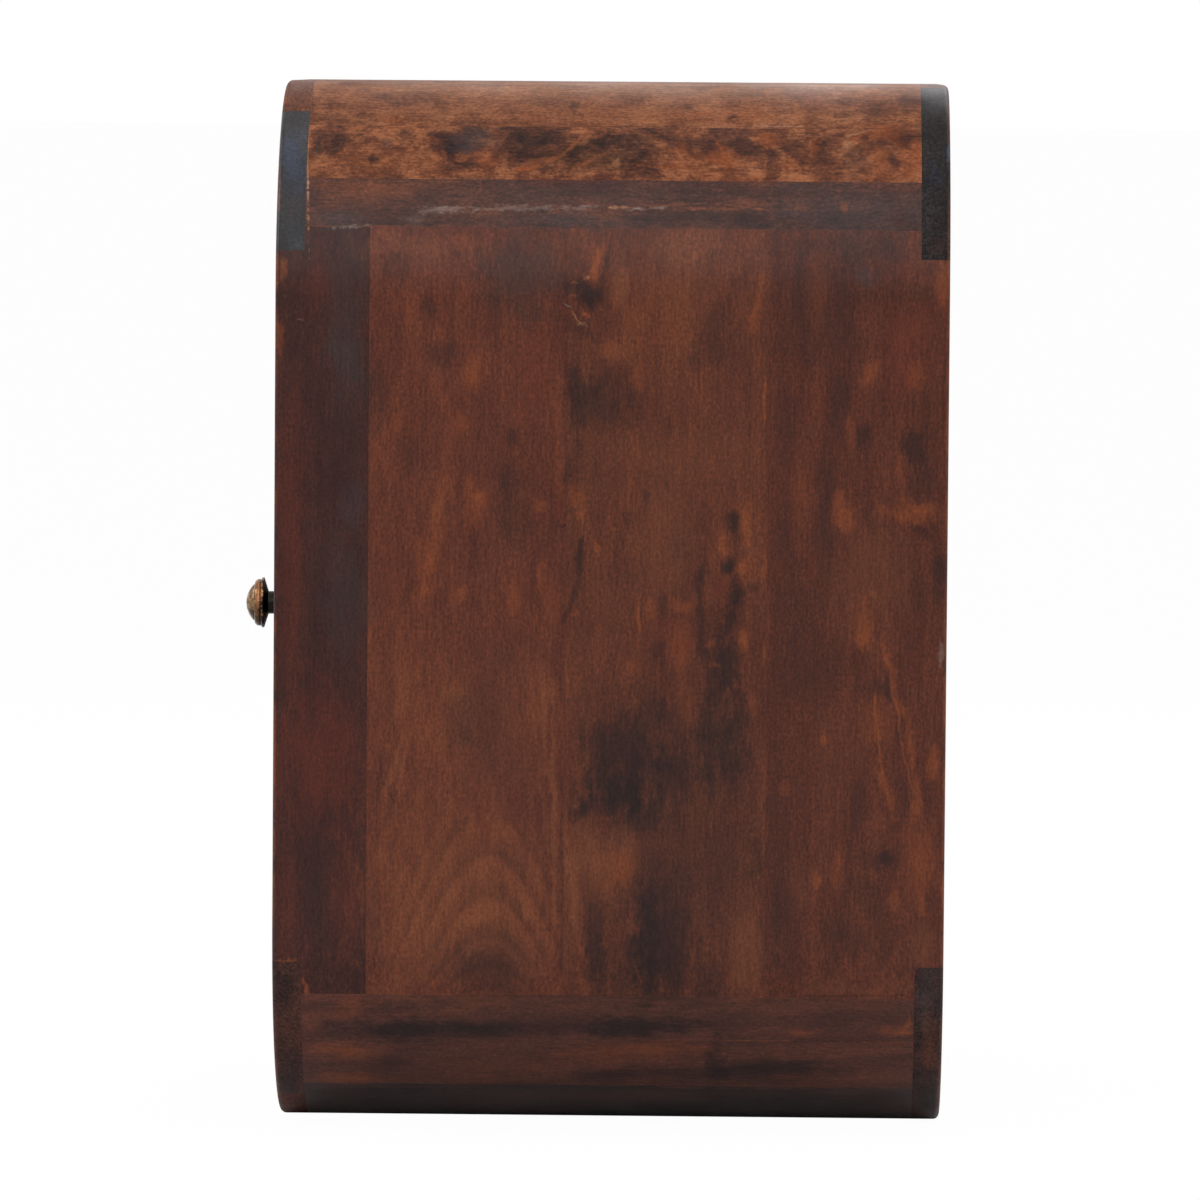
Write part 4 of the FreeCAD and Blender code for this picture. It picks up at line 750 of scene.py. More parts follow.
FIRST_BOARD = (
    (-171.3, 452.1, 2.2, 6, 0, ORANGE, 0.45),
    (-172.7, 436.6, 2.3, 7, 0, NEAR_BLACK, 0.5),
    (-171.6, 418.7, 1.8, 9.9, 0, ORANGE, 0.3),
    (-165.3, 409.4, 4.4, 11.4, 0, DARK, 0.55),
    (-137.6, 418.5, 11.9, 44.1, 0, GREY_BROWN, 0.7),
    (-138.5, 406, 9.9, 9.9, 0, SLATE, 0.25),
    (-152.5, 447.9, 8, 14, 0, RED_BROWN, 0.35),
    (-140.3, 357.4, 12, 24.7, 0, DARK, 0.5),
    (-133.4, 327.6, 7.3, 11.4, 0, SLATE, 0.3),
    (-166.3, 310.5, 7.5, 82.2, 0, RED_BROWN, 0.45),
    (-158, 316.9, 4.9, 8.3, 0, DARK, 0.45),
    (-137.6, 284.6, 12.2, 35.1, 0, GREY_BROWN, 0.6),
    (-153.4, 280.5, 7.8, 20.8, 0, DARK, 0.3),
    (-161.7, 425.8, 1.5, 0.5, -31, PALE, 0.2),
    (-148.9, 320.1, 1.2, 0.5, 27, PALE, 0.2),
    (-150.3, 197.1, 20.8, 36.5, 0, RED_BROWN, 0.65),
    (-152.6, 129.2, 6.8, 31.4, 0, DARK, 0.55),
    (-135.9, 126.6, 7.8, 34.1, 0, RED_BROWN, 0.35),
    (-167.7, 122.5, 5.2, 27.5, 0, RED_BROWN, 0.35),
    (-167.1, 90.1, 5.8, 0.8, 6, ORANGE, 0.6),
    (-157.2, 78, 1.3, 4.8, 19, ORANGE, 0.6),
)
SECOND_BOARD = (
    (-102.1, 465.1, 27, 8.5, 0, TAN, 0.28),
    (-47, 449.4, 22.8, 23.5, 0, GREY_BROWN, 0.6),
    (-78, 466.3, 6, 5.3, 0, ORANGE, 0.35),
    (-111.8, 450.8, 9.9, 7.3, 0, DARK, 0.35),
    (-94, 433.6, 4.7, 6.5, 0, DARK, 0.5),
    (-88.4, 409.2, 10.1, 8, 0, DARK, 0.55),
    (-72, 399.2, 5.2, 11.9, 0, ORANGE, 0.38),
    (-72.5, 396.6, 2.6, 6.2, 0, ORANGE, 0.3),
    (-111.1, 373.2, 3.9, 9.1, 0, ORANGE, 0.25),
    (-121.5, 384.8, 7, 14.5, 0, DARK, 0.45),
    (-78.6, 371.7, 4.7, 6.2, 0, ORANGE, 0.3),
    (-51.8, 366.4, 3.4, 3.4, 0, DARK, 0.55),
    (-54.3, 348, 8, 10.4, 0, DARK, 0.4),
    (-91, 314.4, 3.4, 31.9, -5, ORANGE, 0.3),
    (-89.7, 327.9, 5.2, 3.6, 0, TAN, 0.3),
    (-97.1, 297.2, 5.5, 15.1, 0, ORANGE, 0.3),
    (-96.5, 285, 2.9, 2.9, 0, ORANGE, 0.4),
    (-70, 331.7, 6.8, 13.5, 0, ORANGE, 0.42),
    (-68.7, 333.8, 3.4, 6.8, 0, ORANGE, 0.4),
    (-86.6, 327.2, 2.1, 2.9, 0, DARK, 0.5),
    (-51.5, 326.4, 10.6, 18.5, 0, DARK, 0.5),
    (-71.2, 310.4, 2.9, 7.3, 0, DARK, 0.3),
    (-37.3, 329.9, 4.2, 5.2, 0, ORANGE, 0.35),
    (-35.7, 293.8, 2.3, 11.2, 0, ORANGE, 0.38),
    (-50.2, 280.4, 4.4, 11.5, 0, ORANGE, 0.3),
    (-76.2, 283.6, 2.9, 6, 0, ORANGE, 0.45),
    (-30.2, 281.6, 7.3, 20.8, 0, ORANGE, 0.15),
    (-26.6, 330.3, 3.4, 6, 0, RED_BROWN, 0.4),
    (-118.6, 286.1, 9.4, 26, 0, ORANGE, 0.1),
    (-106, 356.4, 7.8, 7.8, 0, DARK, 0.3),
    (-37.2, 395.9, 10.4, 20.8, 0, RED_BROWN, 0.25),
    (-76, 123.9, 49, 53.1, 0, TAN, 0.46),
    (-81.6, 236.6, 5.5, 7, 0, TAN, 0.4),
    (-71.4, 220, 16.6, 20.1, 0, DARK, 0.42),
    (-75.2, 212.4, 3.9, 5.2, 0, NEAR_BLACK, 0.35),
    (-112.6, 190.5, 1.8, 17.7, -16, TAN, 0.6),
    (-107.1, 193.6, 1.3, 17.4, -12, TAN, 0.5),
    (-119.1, 188.6, 1.6, 18.5, -9, DARK, 0.5),
    (-66.3, 166.1, 3.1, 11.1, 8, RED_BROWN, 0.5),
    (-108.9, 235.3, 15.6, 24.8, 0, TAN, 0.15),
    (-43.9, 229.4, 10.4, 31.3, 0, TAN, 0.12),
    (-43.1, 122.9, 2.1, 14.4, 19, TAN, 0.6),
    (-87.1, 120.4, 1.8, 12, -16, TAN, 0.6),
    (-67, 114.9, 8.3, 4.7, 0, TAN, 0.6),
    (-64.8, 88.8, 24.6, 17.2, 0, DARK, 0.66),
    (-73.7, 216.1, 45.5, 39.1, 0, TAN, 0.14),
    (-111.5, 228.8, 0.8, 20.9, -4, TAN, 0.35),
    (-117.8, 155.7, 0.8, 20.9, 3, TAN, 0.35),
    (-28.9, 170.4, 1.8, 90.5, 1, TAN, 0.48),
    (-34.5, 229.5, 1.8, 31.3, 2, TAN, 0.45),
    (-33.5, 166.9, 1.6, 42, 6, TAN, 0.2),
    (-24.4, 156, 0.8, 78.8, 1, DARK, 0.45),
    (-102.9, 92.5, 15.6, 16.2, 0, TAN, 0.22),
    (-39.6, 91.9, 8.6, 14.9, 0, TAN, 0.2),
    (-122.8, 118.5, 4.2, 42.4, 0, DARK, 0.2),
)
THIRD_BOARD = (
    (33, 467.2, 20.5, 8.5, 0, TAN, 0.35),
    (-9.5, 459, 6, 10, 0, ORANGE, 0.3),
    (-11.2, 452.4, 3.1, 2.9, 0, ORANGE, 0.5),
    (-20.5, 443.7, 4.7, 6.2, 0, DARK, 0.45),
    (-10.3, 441.5, 7, 8.6, 0, NEAR_BLACK, 0.8),
    (-5.6, 432.2, 1.8, 1.8, 0, TAN, 0.6),
    (2.9, 443.9, 6.2, 9.3, 0, TAN, 0.4),
    (0, 411, 7.8, 6, 0, TAN, 0.35),
    (-5, 385.8, 19.7, 16.6, 0, DARK, 0.65),
    (-16.2, 387.8, 9.1, 12.5, 0, NEAR_BLACK, 0.35),
    (56.5, 414, 18.7, 5.2, 37, DARK, 0.35),
    (73.2, 426.9, 3.4, 9.3, 0, ORANGE, 0.2),
    (35.7, 357.6, 41.5, 13, 0, TAN, 0.18),
    (28.2, 319.6, 15.1, 35.3, 0, TAN, 0.3),
    (-14.6, 353.3, 8.8, 19.5, 0, DARK, 0.25),
    (38.9, 440.1, 16.8, 17.6, 0, TAN, 0.2),
    (-22.6, 348.8, 2.9, 5.7, 0, DARK, 0.5),
    (-16.8, 336.1, 4.4, 7, 0, ORANGE, 0.35),
    (-15.4, 324.1, 2.6, 4.4, 0, ORANGE, 0.5),
    (-20.6, 327, 2.6, 3.1, 0, DARK, 0.5),
    (-23.7, 319.9, 1.6, 2.3, 0, NEAR_BLACK, 0.5),
    (-16, 301.3, 2.6, 11.3, -6, NEAR_BLACK, 0.62),
    (-19.6, 285.1, 2.3, 5.9, -23, NEAR_BLACK, 0.5),
    (-22.9, 273.9, 2.1, 6.4, -14, NEAR_BLACK, 0.55),
    (-8.1, 310.2, 2.1, 1.8, 0, ORANGE, 0.5),
    (-19, 275, 2.3, 3.1, 0, ORANGE, 0.4),
    (17.2, 332.7, 2.6, 4.4, 0, DARK, 0.55),
    (10.3, 322, 4.4, 4.7, 0, DARK, 0.35),
    (15.3, 272.1, 0.8, 9.4, -1, ORANGE, 0.55),
    (20.8, 274.3, 2.6, 6.2, 0, ORANGE, 0.35),
    (27.3, 275.6, 3.4, 9.1, 0, DARK, 0.55),
    (37.1, 278.3, 6.5, 4.9, 0, ORANGE, 0.4),
    (36.8, 257.7, 7, 10.9, 0, ORANGE, 0.42),
    (25.1, 253.7, 3.1, 6.5, 0, DARK, 0.6),
    (12.4, 245, 4.4, 3.6, 0, ORANGE, 0.3),
    (13.9, 226.3, 3.1, 4.2, 0, ORANGE, 0.45),
    (39.8, 231.2, 4.2, 11.5, 0, ORANGE, 0.35),
    (27.9, 225.6, 5.7, 6, 0, DARK, 0.5),
    (47.1, 293.2, 3.1, 11, -8, NEAR_BLACK, 0.6),
    (47.9, 265.1, 3.4, 18.3, 7, NEAR_BLACK, 0.6),
    (64.5, 322.5, 5.2, 4.7, 0, NEAR_BLACK, 0.75),
    (66.1, 315.2, 3.6, 4.2, 0, DARK, 0.5),
    (61.3, 300.4, 4.4, 5.5, 0, NEAR_BLACK, 0.8),
    (66.1, 285.6, 3.9, 7.3, 0, NEAR_BLACK, 0.75),
    (61.6, 271, 3.9, 10, -19, NEAR_BLACK, 0.7),
    (61.5, 248.6, 7.3, 18.2, 0, NEAR_BLACK, 0.75),
    (57.5, 289.4, 4.7, 6, 0, RED_BROWN, 0.5),
    (58.4, 312, 2.6, 5.7, 0, ORANGE, 0.45),
    (70, 321, 3.4, 10.9, 0, ORANGE, 0.45),
    (69.7, 299.1, 3.9, 6.2, 0, ORANGE, 0.6),
    (69.2, 261.4, 2.6, 4.9, 0, ORANGE, 0.7),
    (73.6, 288.5, 4.2, 2.9, 0, DARK, 0.55),
    (53.6, 260, 2.6, 2.6, 0, ORANGE, 0.45),
    (55.3, 246.5, 3.1, 2.1, 0, ORANGE, 0.5),
    (74.4, 227.1, 2.3, 8.1, 0, ORANGE, 0.38),
    (79.3, 351.4, 0.9, 6.5, 0, ORANGE, 0.5),
    (79.8, 296.9, 1, 9.1, 0, ORANGE, 0.5),
    (79.7, 251.4, 0.9, 5.2, 0, ORANGE, 0.45),
    (37.4, 147.7, 49.4, 87.6, 0, DARK, 0.46),
    (16.1, 214.3, 31.2, 20.9, 0, DARK, 0.35),
    (54.9, 227.7, 13, 33.9, 0, DARK, 0.3),
    (31.3, 263.9, 15.6, 13, 0, RED_BROWN, 0.25),
    (8.6, 199.1, 22.1, 24.5, 0, NEAR_BLACK, 0.62),
    (30.8, 191.8, 19.8, 20.1, 0, NEAR_BLACK, 0.42),
    (1.2, 181.3, 19.2, 13, 0, NEAR_BLACK, 0.72),
    (-14.3, 172.8, 3.6, 9.7, -36, NEAR_BLACK, 0.6),
    (22.7, 169, 12.5, 8.9, 0, NEAR_BLACK, 0.5),
    (53.5, 211, 7.3, 27.6, 0, NEAR_BLACK, 0.6),
    (66, 210.6, 8.3, 28.1, 0, NEAR_BLACK, 0.6),
    (-22.9, 203.5, 4.7, 26.1, 0, RED_BROWN, 0.3),
    (-2.7, 145.8, 19.3, 18.3, 0, TAN, 0.42),
    (4.1, 143.2, 10.4, 13.6, 0, ORANGE, 0.25),
    (8.3, 139.1, 5.2, 9.4, 0, ORANGE, 0.35),
    (-17.4, 131.5, 3.4, 32.8, 9, TAN, 0.5),
    (-18.2, 127.8, 0.8, 34.2, 7, TAN, 0.4),
    (-12.7, 98, 1.6, 9.1, 20, ORANGE, 0.45),
    (-6.5, 97.7, 5.7, 30.8, 0, NEAR_BLACK, 0.62),
    (5, 80.5, 8.9, 13.5, 0, DARK, 0.4),
    (27.8, 104.8, 17.2, 38.7, 0, NEAR_BLACK, 0.6),
    (20.6, 99, 6.8, 31.8, 0, NEAR_BLACK, 0.62),
    (77.7, 145, 4.9, 13.6, 0, NEAR_BLACK, 0.5),
    (71.6, 100.3, 8.8, 27.9, 0, TAN, 0.42),
    (53, 82.1, 9.9, 12.3, 0, DARK, 0.3),
    (-8.7, 458.9, 1.8, 8, -31, ORANGE, 0.6),
    (-12.7, 465.3, 1, 8.4, -19, RED_BROWN, 0.4),
    (-12.8, 452.1, 1, 2.3, -26, HONEY, 0.5),
    (-4, 456.9, 1.3, 7.3, -20, NEAR_BLACK, 0.55),
    (-20, 444.3, 1.3, 7.9, -31, DARK, 0.55),
    (-22.8, 442.7, 1.8, 3.1, 0, NEAR_BLACK, 0.5),
    (-18.9, 443.8, 2.3, 0.8, 27, TAN, 0.6),
    (-20.4, 438, 2.6, 0.8, 12, TAN, 0.5),
    (-14.1, 422, 1.6, 11.8, 29, DARK, 0.55),
    (-17, 425.4, 0.8, 7, 39, HONEY, 0.5),
    (-14.4, 430.3, 0.8, 3.4, 23, ORANGE, 0.8),
    (-22.7, 433.1, 2.2, 0.8, -35, PALE, 0.4),
    (-18.5, 421.5, 6, 5.7, 0, DARK, 0.5),
    (0.5, 412.5, 6.7, 6, 0, ORANGE, 0.3),
    (4.2, 439.8, 4.9, 11.4, 0, TAN, 0.3),
    (-18.8, 389.3, 5.4, 14, 0, NEAR_BLACK, 0.45),
    (52.2, 426.2, 6.8, 25.8, -30, DARK, 0.4),
    (74.5, 435.2, 1.8, 15.9, -11, ORANGE, 0.4),
    (79.3, 387, 1, 10.9, -4, ORANGE, 0.5),
    (14.9, 396.3, 3.9, 6.2, 0, ORANGE, 0.28),
)
FOURTH_BOARD = (
    (170.2, 446.9, 4.1, 14, 0, ORANGE, 0.42),
    (108.4, 435.9, 27.7, 36.2, 0, DARK, 0.5),
    (122.9, 466.4, 41.4, 8, 0, GREY_BROWN, 0.35),
    (106, 445.7, 5.7, 23.7, 0, ORANGE, 0.18),
    (131.3, 451.5, 6.2, 6, 0, SLATE, 0.4),
    (152.2, 454.7, 9.6, 4.9, 0, RED_BROWN, 0.4),
    (155.9, 443.3, 11.1, 7, 0, DARK, 0.3),
    (153.4, 413, 14.5, 23.8, 0, RED_BROWN, 0.4),
    (153.1, 421.3, 9.1, 8.3, 0, ORANGE, 0.12),
    (134.6, 400.2, 5.4, 5.4, 0, ORANGE, 0.42),
    (159, 399.6, 6, 7.3, 0, ORANGE, 0.3),
    (119, 384.2, 6.2, 17.1, 0, DARK, 0.5),
    (124.5, 372.3, 2.9, 10.4, 0, ORANGE, 0.35),
    (130, 368.5, 5.2, 9.6, 0, NEAR_BLACK, 0.55),
    (156.7, 363, 9.1, 9.6, 0, NEAR_BLACK, 0.6),
    (162.3, 345.1, 6.2, 10.9, 0, DARK, 0.45),
    (151.2, 350, 1.6, 9.9, 14, ORANGE, 0.3),
    (111.7, 322.4, 6.2, 38.4, 0, DARK, 0.55),
    (99.7, 337.1, 6.7, 19.5, 0, ORANGE, 0.22),
    (89.2, 313.9, 3.9, 15.6, 0, DARK, 0.4),
    (120, 329.2, 5.7, 11.4, 0, ORANGE, 0.5),
    (134.2, 329.3, 3.9, 4.7, 0, DARK, 0.4),
    (153.9, 330, 14.8, 5.2, 0, ORANGE, 0.42),
    (160.9, 330.6, 6.7, 3.6, 0, ORANGE, 0.3),
    (162.8, 320.2, 5.4, 4.7, 0, NEAR_BLACK, 0.5),
    (171.9, 299, 4.4, 15.6, 0, NEAR_BLACK, 0.6),
    (161.3, 288.2, 4.7, 14.3, 0, DARK, 0.4),
    (134.8, 293.2, 22.8, 33.5, 0, TAN, 0.25),
    (137, 284.1, 2.1, 2.6, 0, TAN, 0.6),
    (133.5, 271.1, 5.2, 9.9, 0, ORANGE, 0.35),
    (97.8, 280.7, 13.8, 18.7, 0, DARK, 0.4),
    (91.8, 378.8, 6, 18.2, 0, DARK, 0.25),
    (105.7, 245.9, 22.3, 22.4, 0, DARK, 0.35),
    (133, 263.8, 5.2, 4.7, 0, ORANGE, 0.4),
    (145.6, 248, 2.1, 12.8, 17, ORANGE, 0.4),
    (152.1, 227, 1.8, 9.9, 19, ORANGE, 0.4),
    (157.2, 205.7, 2.3, 13.2, 11, ORANGE, 0.4),
    (159.6, 179.1, 2.9, 14.6, 2, ORANGE, 0.42),
    (143.9, 183.7, 2.6, 15.9, 19, ORANGE, 0.42),
    (144.9, 240.7, 2.3, 5.5, 0, NEAR_BLACK, 0.55),
    (151.7, 212.9, 2.1, 6.3, 0, NEAR_BLACK, 0.65),
    (153, 180.1, 2.1, 11.7, 11, DARK, 0.5),
    (140.6, 235.8, 9.3, 4.2, 0, DARK, 0.5),
    (120.1, 199.6, 20.8, 36.5, 0, TAN, 0.1),
    (140, 217, 10.1, 14.1, 0, ORANGE, 0.25),
    (140.3, 210.2, 0.8, 26.3, 8, ORANGE, 0.45),
    (148.1, 233.7, 0.8, 24.1, 14, ORANGE, 0.4),
    (153.3, 205.1, 0.8, 26.4, 10, ORANGE, 0.4),
    (110.7, 212, 3.1, 4.2, 0, ORANGE, 0.4),
    (91.2, 184.8, 3.1, 4.2, 0, ORANGE, 0.3),
    (130.2, 173.9, 4.7, 15.4, 0, DARK, 0.5),
    (144.3, 148.5, 5.5, 5.5, 0, NEAR_BLACK, 0.7),
    (138.8, 149.2, 10.9, 7.8, 0, DARK, 0.5),
    (133, 130.3, 10.7, 11, 0, DARK, 0.45),
    (161.4, 147, 9.1, 19.1, 0, ORANGE, 0.32),
    (148.6, 128.7, 3.4, 6.5, 0, ORANGE, 0.38),
    (162.2, 122.5, 2.3, 6.5, 0, ORANGE, 0.38),
    (169.2, 201.9, 3.4, 8.6, 0, ORANGE, 0.5),
    (171.5, 255, 1.6, 6, 0, PALE, 0.22),
    (119.4, 140.7, 3.4, 11.5, 0, ORANGE, 0.32),
    (108, 138.2, 2.3, 2.9, 0, ORANGE, 0.5),
    (103.8, 134.2, 9.1, 15.1, 0, TAN, 0.15),
    (90.5, 115.2, 5.5, 21.5, 0, DARK, 0.4),
    (129.8, 107.2, 22.4, 13.2, 0, DARK, 0.4),
    (165.2, 102.8, 9.9, 10.6, 0, TAN, 0.25),
    (124.4, 79.5, 28.1, 4.8, 0, TAN, 0.25),
)
BASE_PATCHES = (
    (3.9, 69, 154, 5.6, 0, TAN, 0.1),
    (-134.4, 66, 7.3, 6.6, 0, ORANGE, 0.28),
    (-101.7, 52.3, 60, 6.8, 0, NEAR_BLACK, 0.85),
    (1.4, 55.2, 47, 5.7, 0, NEAR_BLACK, 0.4),
    (-30, 56.4, 26.1, 6, 0, DARK, 0.5),
    (19.7, 54.7, 31.9, 7.7, 0, NEAR_BLACK, 0.7),
    (-132.4, 35.6, 13.1, 6.7, 0, ORANGE, 0.22),
    (11.8, 36.9, 36.7, 5.9, 0, ORANGE, 0.15),
    (74.7, 13.6, 57.8, 18.3, 0, NEAR_BLACK, 0.25),
    (64.1, 54, 15.7, 6.4, 0, DARK, 0.4),
    (100.4, 52.6, 9.7, 2.6, 0, ORANGE, 0.4),
    (149, 55.1, 8.6, 3.2, 0, ORANGE, 0.3),
    (155.7, 59.1, 2.9, 7.1, 0, ORANGE, 0.4),
    (-138.8, 39, 20.7, 4.7, 0, ORANGE, 0.38),
    (-132.5, 14.4, 15.3, 6.2, 0, ORANGE, 0.38),
    (-114.7, 27, 14.2, 6.1, 0, NEAR_BLACK, 0.5),
    (-53.8, 27.1, 44.6, 16.3, 0, TAN, 0.08),
    (21.2, 41.4, 29.8, 4.9, 0, ORANGE, 0.32),
    (4.4, 20.5, 17.9, 5.7, 0, NEAR_BLACK, 0.6),
    (55, 28, 5, 18.2, 0, NEAR_BLACK, 0.6),
    (83.9, 27.5, 33.8, 11.3, 0, NEAR_BLACK, 0.6),
    (138.6, 30.7, 20.9, 16.4, 0, TAN, 0.06),
    (-166, 52.8, 8.4, 22.8, 0, DARK, 0.2),
    (170.8, -19.7, 2.9, 5.9, 0, PALE, 0.15),
)
BASE_LINES = (
    (76.9, 47.2, 14.4, 0.4, 0, ORANGE, 0.4),
    (142, 47, 17.2, 0.4, 0, ORANGE, 0.4),
    (-107.2, 6.6, 58.3, 0.4, 1, TAN, 0.2),
    (39.3, 8.7, 11.8, 0.5, 0, ORANGE, 0.35),
    (91.1, 9.2, 28.4, 0.4, 1, ORANGE, 0.3),
    (-32.6, 73.9, 117.4, 0.4, 1, DARK, 0.5),
    (123.1, 75.3, 35.7, 0.4, 1, NEAR_BLACK, 0.5),
)
RIGHT_PATCHES = STAVE_PATCHES + FIRST_BOARD + SECOND_BOARD + THIRD_BOARD + FOURTH_BOARD + BASE_PATCHES
RIGHT_LINES = STAVE_LINES + BASE_LINES
print(len(RIGHT_PATCHES) + len(RIGHT_LINES), "marks on the right side")

# %% [markdown]
# ## Cathedral arches
#
# Rings seen in a flat board close in as the log tapers, and the saw leaves them as arches. The second board's
# pith line lies behind its face, and a lift that grows with height closes the rings.

# %% The second board's arches
ARCH_PITH = (0.1586, -0.0631, 0.0)
ARCH_WIDTH = 0.00612  # metres from ring to ring
ARCH_SLOPE = 0.28  # how far the rings close in for each metre up
ARCH_SHIFT = 0.0038  # metres that bring a dark ring to the top of the outer arch
ARCH_CENTRE = (SIDE_X, -0.066, 0.120)
ARCH_REACH = (0.05, 0.042, 0.046)
ARCH_FADE = (1.25, 0.6)  # where the arches are gone and where they are full, as shares of their reach
ARCH_RINGS = 0.52
PLAIN_RINGS = 0.06


def cathedral(tree, place, height):
    """Arches low on the board, which fade away from their middle."""
    lift = ramp(tree, height, 0.0, 1.0, ARCH_SHIFT, ARCH_SHIFT + ARCH_SLOPE)
    away = vectors(tree, "DIVIDE", vectors(tree, "SUBTRACT", place, ARCH_CENTRE), ARCH_REACH)
    near = rise(tree, vectors(tree, "LENGTH", away), *ARCH_FADE)
    return lift, ramp(tree, near, 0.0, 1.0, PLAIN_RINGS, ARCH_RINGS)


# %% Right side boards
QUIET = dict(clouds=0.5, mottle=1.05, rings=0.12, streak=0.5, fibre=0.72)
RIGHT_BOARDS = (
    dict(tones=DEEP, pith=(0.06, -0.10, 0.0)),
    dict(tones=BROWN, pith=ARCH_PITH, ring_width=ARCH_WIDTH, bend=0.004, arches=cathedral),
    dict(tones=AMBER, pith=(0.10, 0.02, 0.0)),
    dict(tones=RUSSET, pith=(0.08, 0.19, 0.0), mottle=0.8),
)
for number, board in enumerate(RIGHT_BOARDS, start=1):
    name = f"right_side_board_{number}"
    marks = dict(patches=marks_near(name, RIGHT_PATCHES), lines=marks_near(name, RIGHT_LINES))
    dress(name, wood_material(f"right_board_{number}_wood", "z", number, **QUIET | board | marks))
    print(name, "has", len(marks["patches"]), "patches")

# %% [markdown]
# ## The left side
#
# The photo doesn't show this side. It gets sister planks with the same finish, laid the other way up, so that
# their patches and flecks fall in other places.

# %% Left side boards
BOARD_MARKS = FIRST_BOARD + SECOND_BOARD + THIRD_BOARD + FOURTH_BOARD


def other_way_up(row):
    """A mark's row with its plank turned end for end."""
    return (-row[0], cabinet_top / MM - row[1]) + row[2:]


def front_to_back(row):
    """A mark's row in a mirror."""
    return (-row[0], row[1], row[2], row[3], -row[4]) + row[5:]


LEFT_TONES = (BROWN, AMBER, DEEP, RUSSET)
for number, tones in enumerate(LEFT_TONES, start=1):
    name = f"left_side_board_{number}"
    patches = marks_near(name, [other_way_up(row) for row in BOARD_MARKS])
    pith = (-0.12, 0.09 * number - 0.2, 0.0)
    looks = dict(tones=tones, pith=pith, patches=patches, clouds=0.7, mottle=0.7)
    dress(name, wood_material(f"left_board_{number}_wood", "z", number + 10, **looks))

# %% [markdown]
# ## The coopered corners
#
# The staves run from front to back, so their grain lies along Y. At the top right the middle stave is from a
# figured plank, burl with dark eyes, the one above it is golden, and the one below is dark, with pale lines
# along a ridge that are partly scuffed lacquer and partly a painted highlight. They turn away from the eye,
# where lacquer would show as a white veil, so the upper ones are duller.

# %% Staves
STAVE_PITH = (0.04, 0.36, 0.0)
DULLER = dict(shine=0.07, coat=0.0, roughness=(0.48, 0.62))
TOP_STAVES = (
    dict(tones=SHADED, burl=0.35, mottle=1.0, rings=0.12, fibre=0.9),
    dict(tones=FIGURED, burl=0.95, streak=0.3, fibre=0.75, rings=0.1) | DULLER | dict(shine=0.08),
    dict(tones=GOLDEN, burl=0.7, streak=0.6, rings=0.2, mottle=1.3, fibre=0.9) | DULLER,
)
SOFT_GRAIN = dict(mottle=1.1, streak=0.3, fibre=0.55)
BASE_STAVES = (dict(tones=FOOT), dict(tones=FOOT), dict(tones=SOLE))
for level, staves in (("top", TOP_STAVES), ("bottom", BASE_STAVES)):
    for number, looks in enumerate(staves, start=1):
        seed = 20 + number + (10 if level == "bottom" else 0)
        looks = dict(pith=STAVE_PITH, clouds=0.7) | (SOFT_GRAIN if level == "bottom" else {}) | looks
        right, left = f"{level}_right_stave_{number}", f"{level}_left_stave_{number}"
        marks = dict(patches=marks_near(right, RIGHT_PATCHES), lines=marks_near(right, RIGHT_LINES))
        dress(right, wood_material(f"{right}_wood", "y", seed, **looks | marks))
        patches = marks_near(left, [front_to_back(row) for row in STAVE_PATCHES + BASE_PATCHES])
        dress(left, wood_material(f"{left}_wood", "y", seed + 5, patches=patches, **looks))
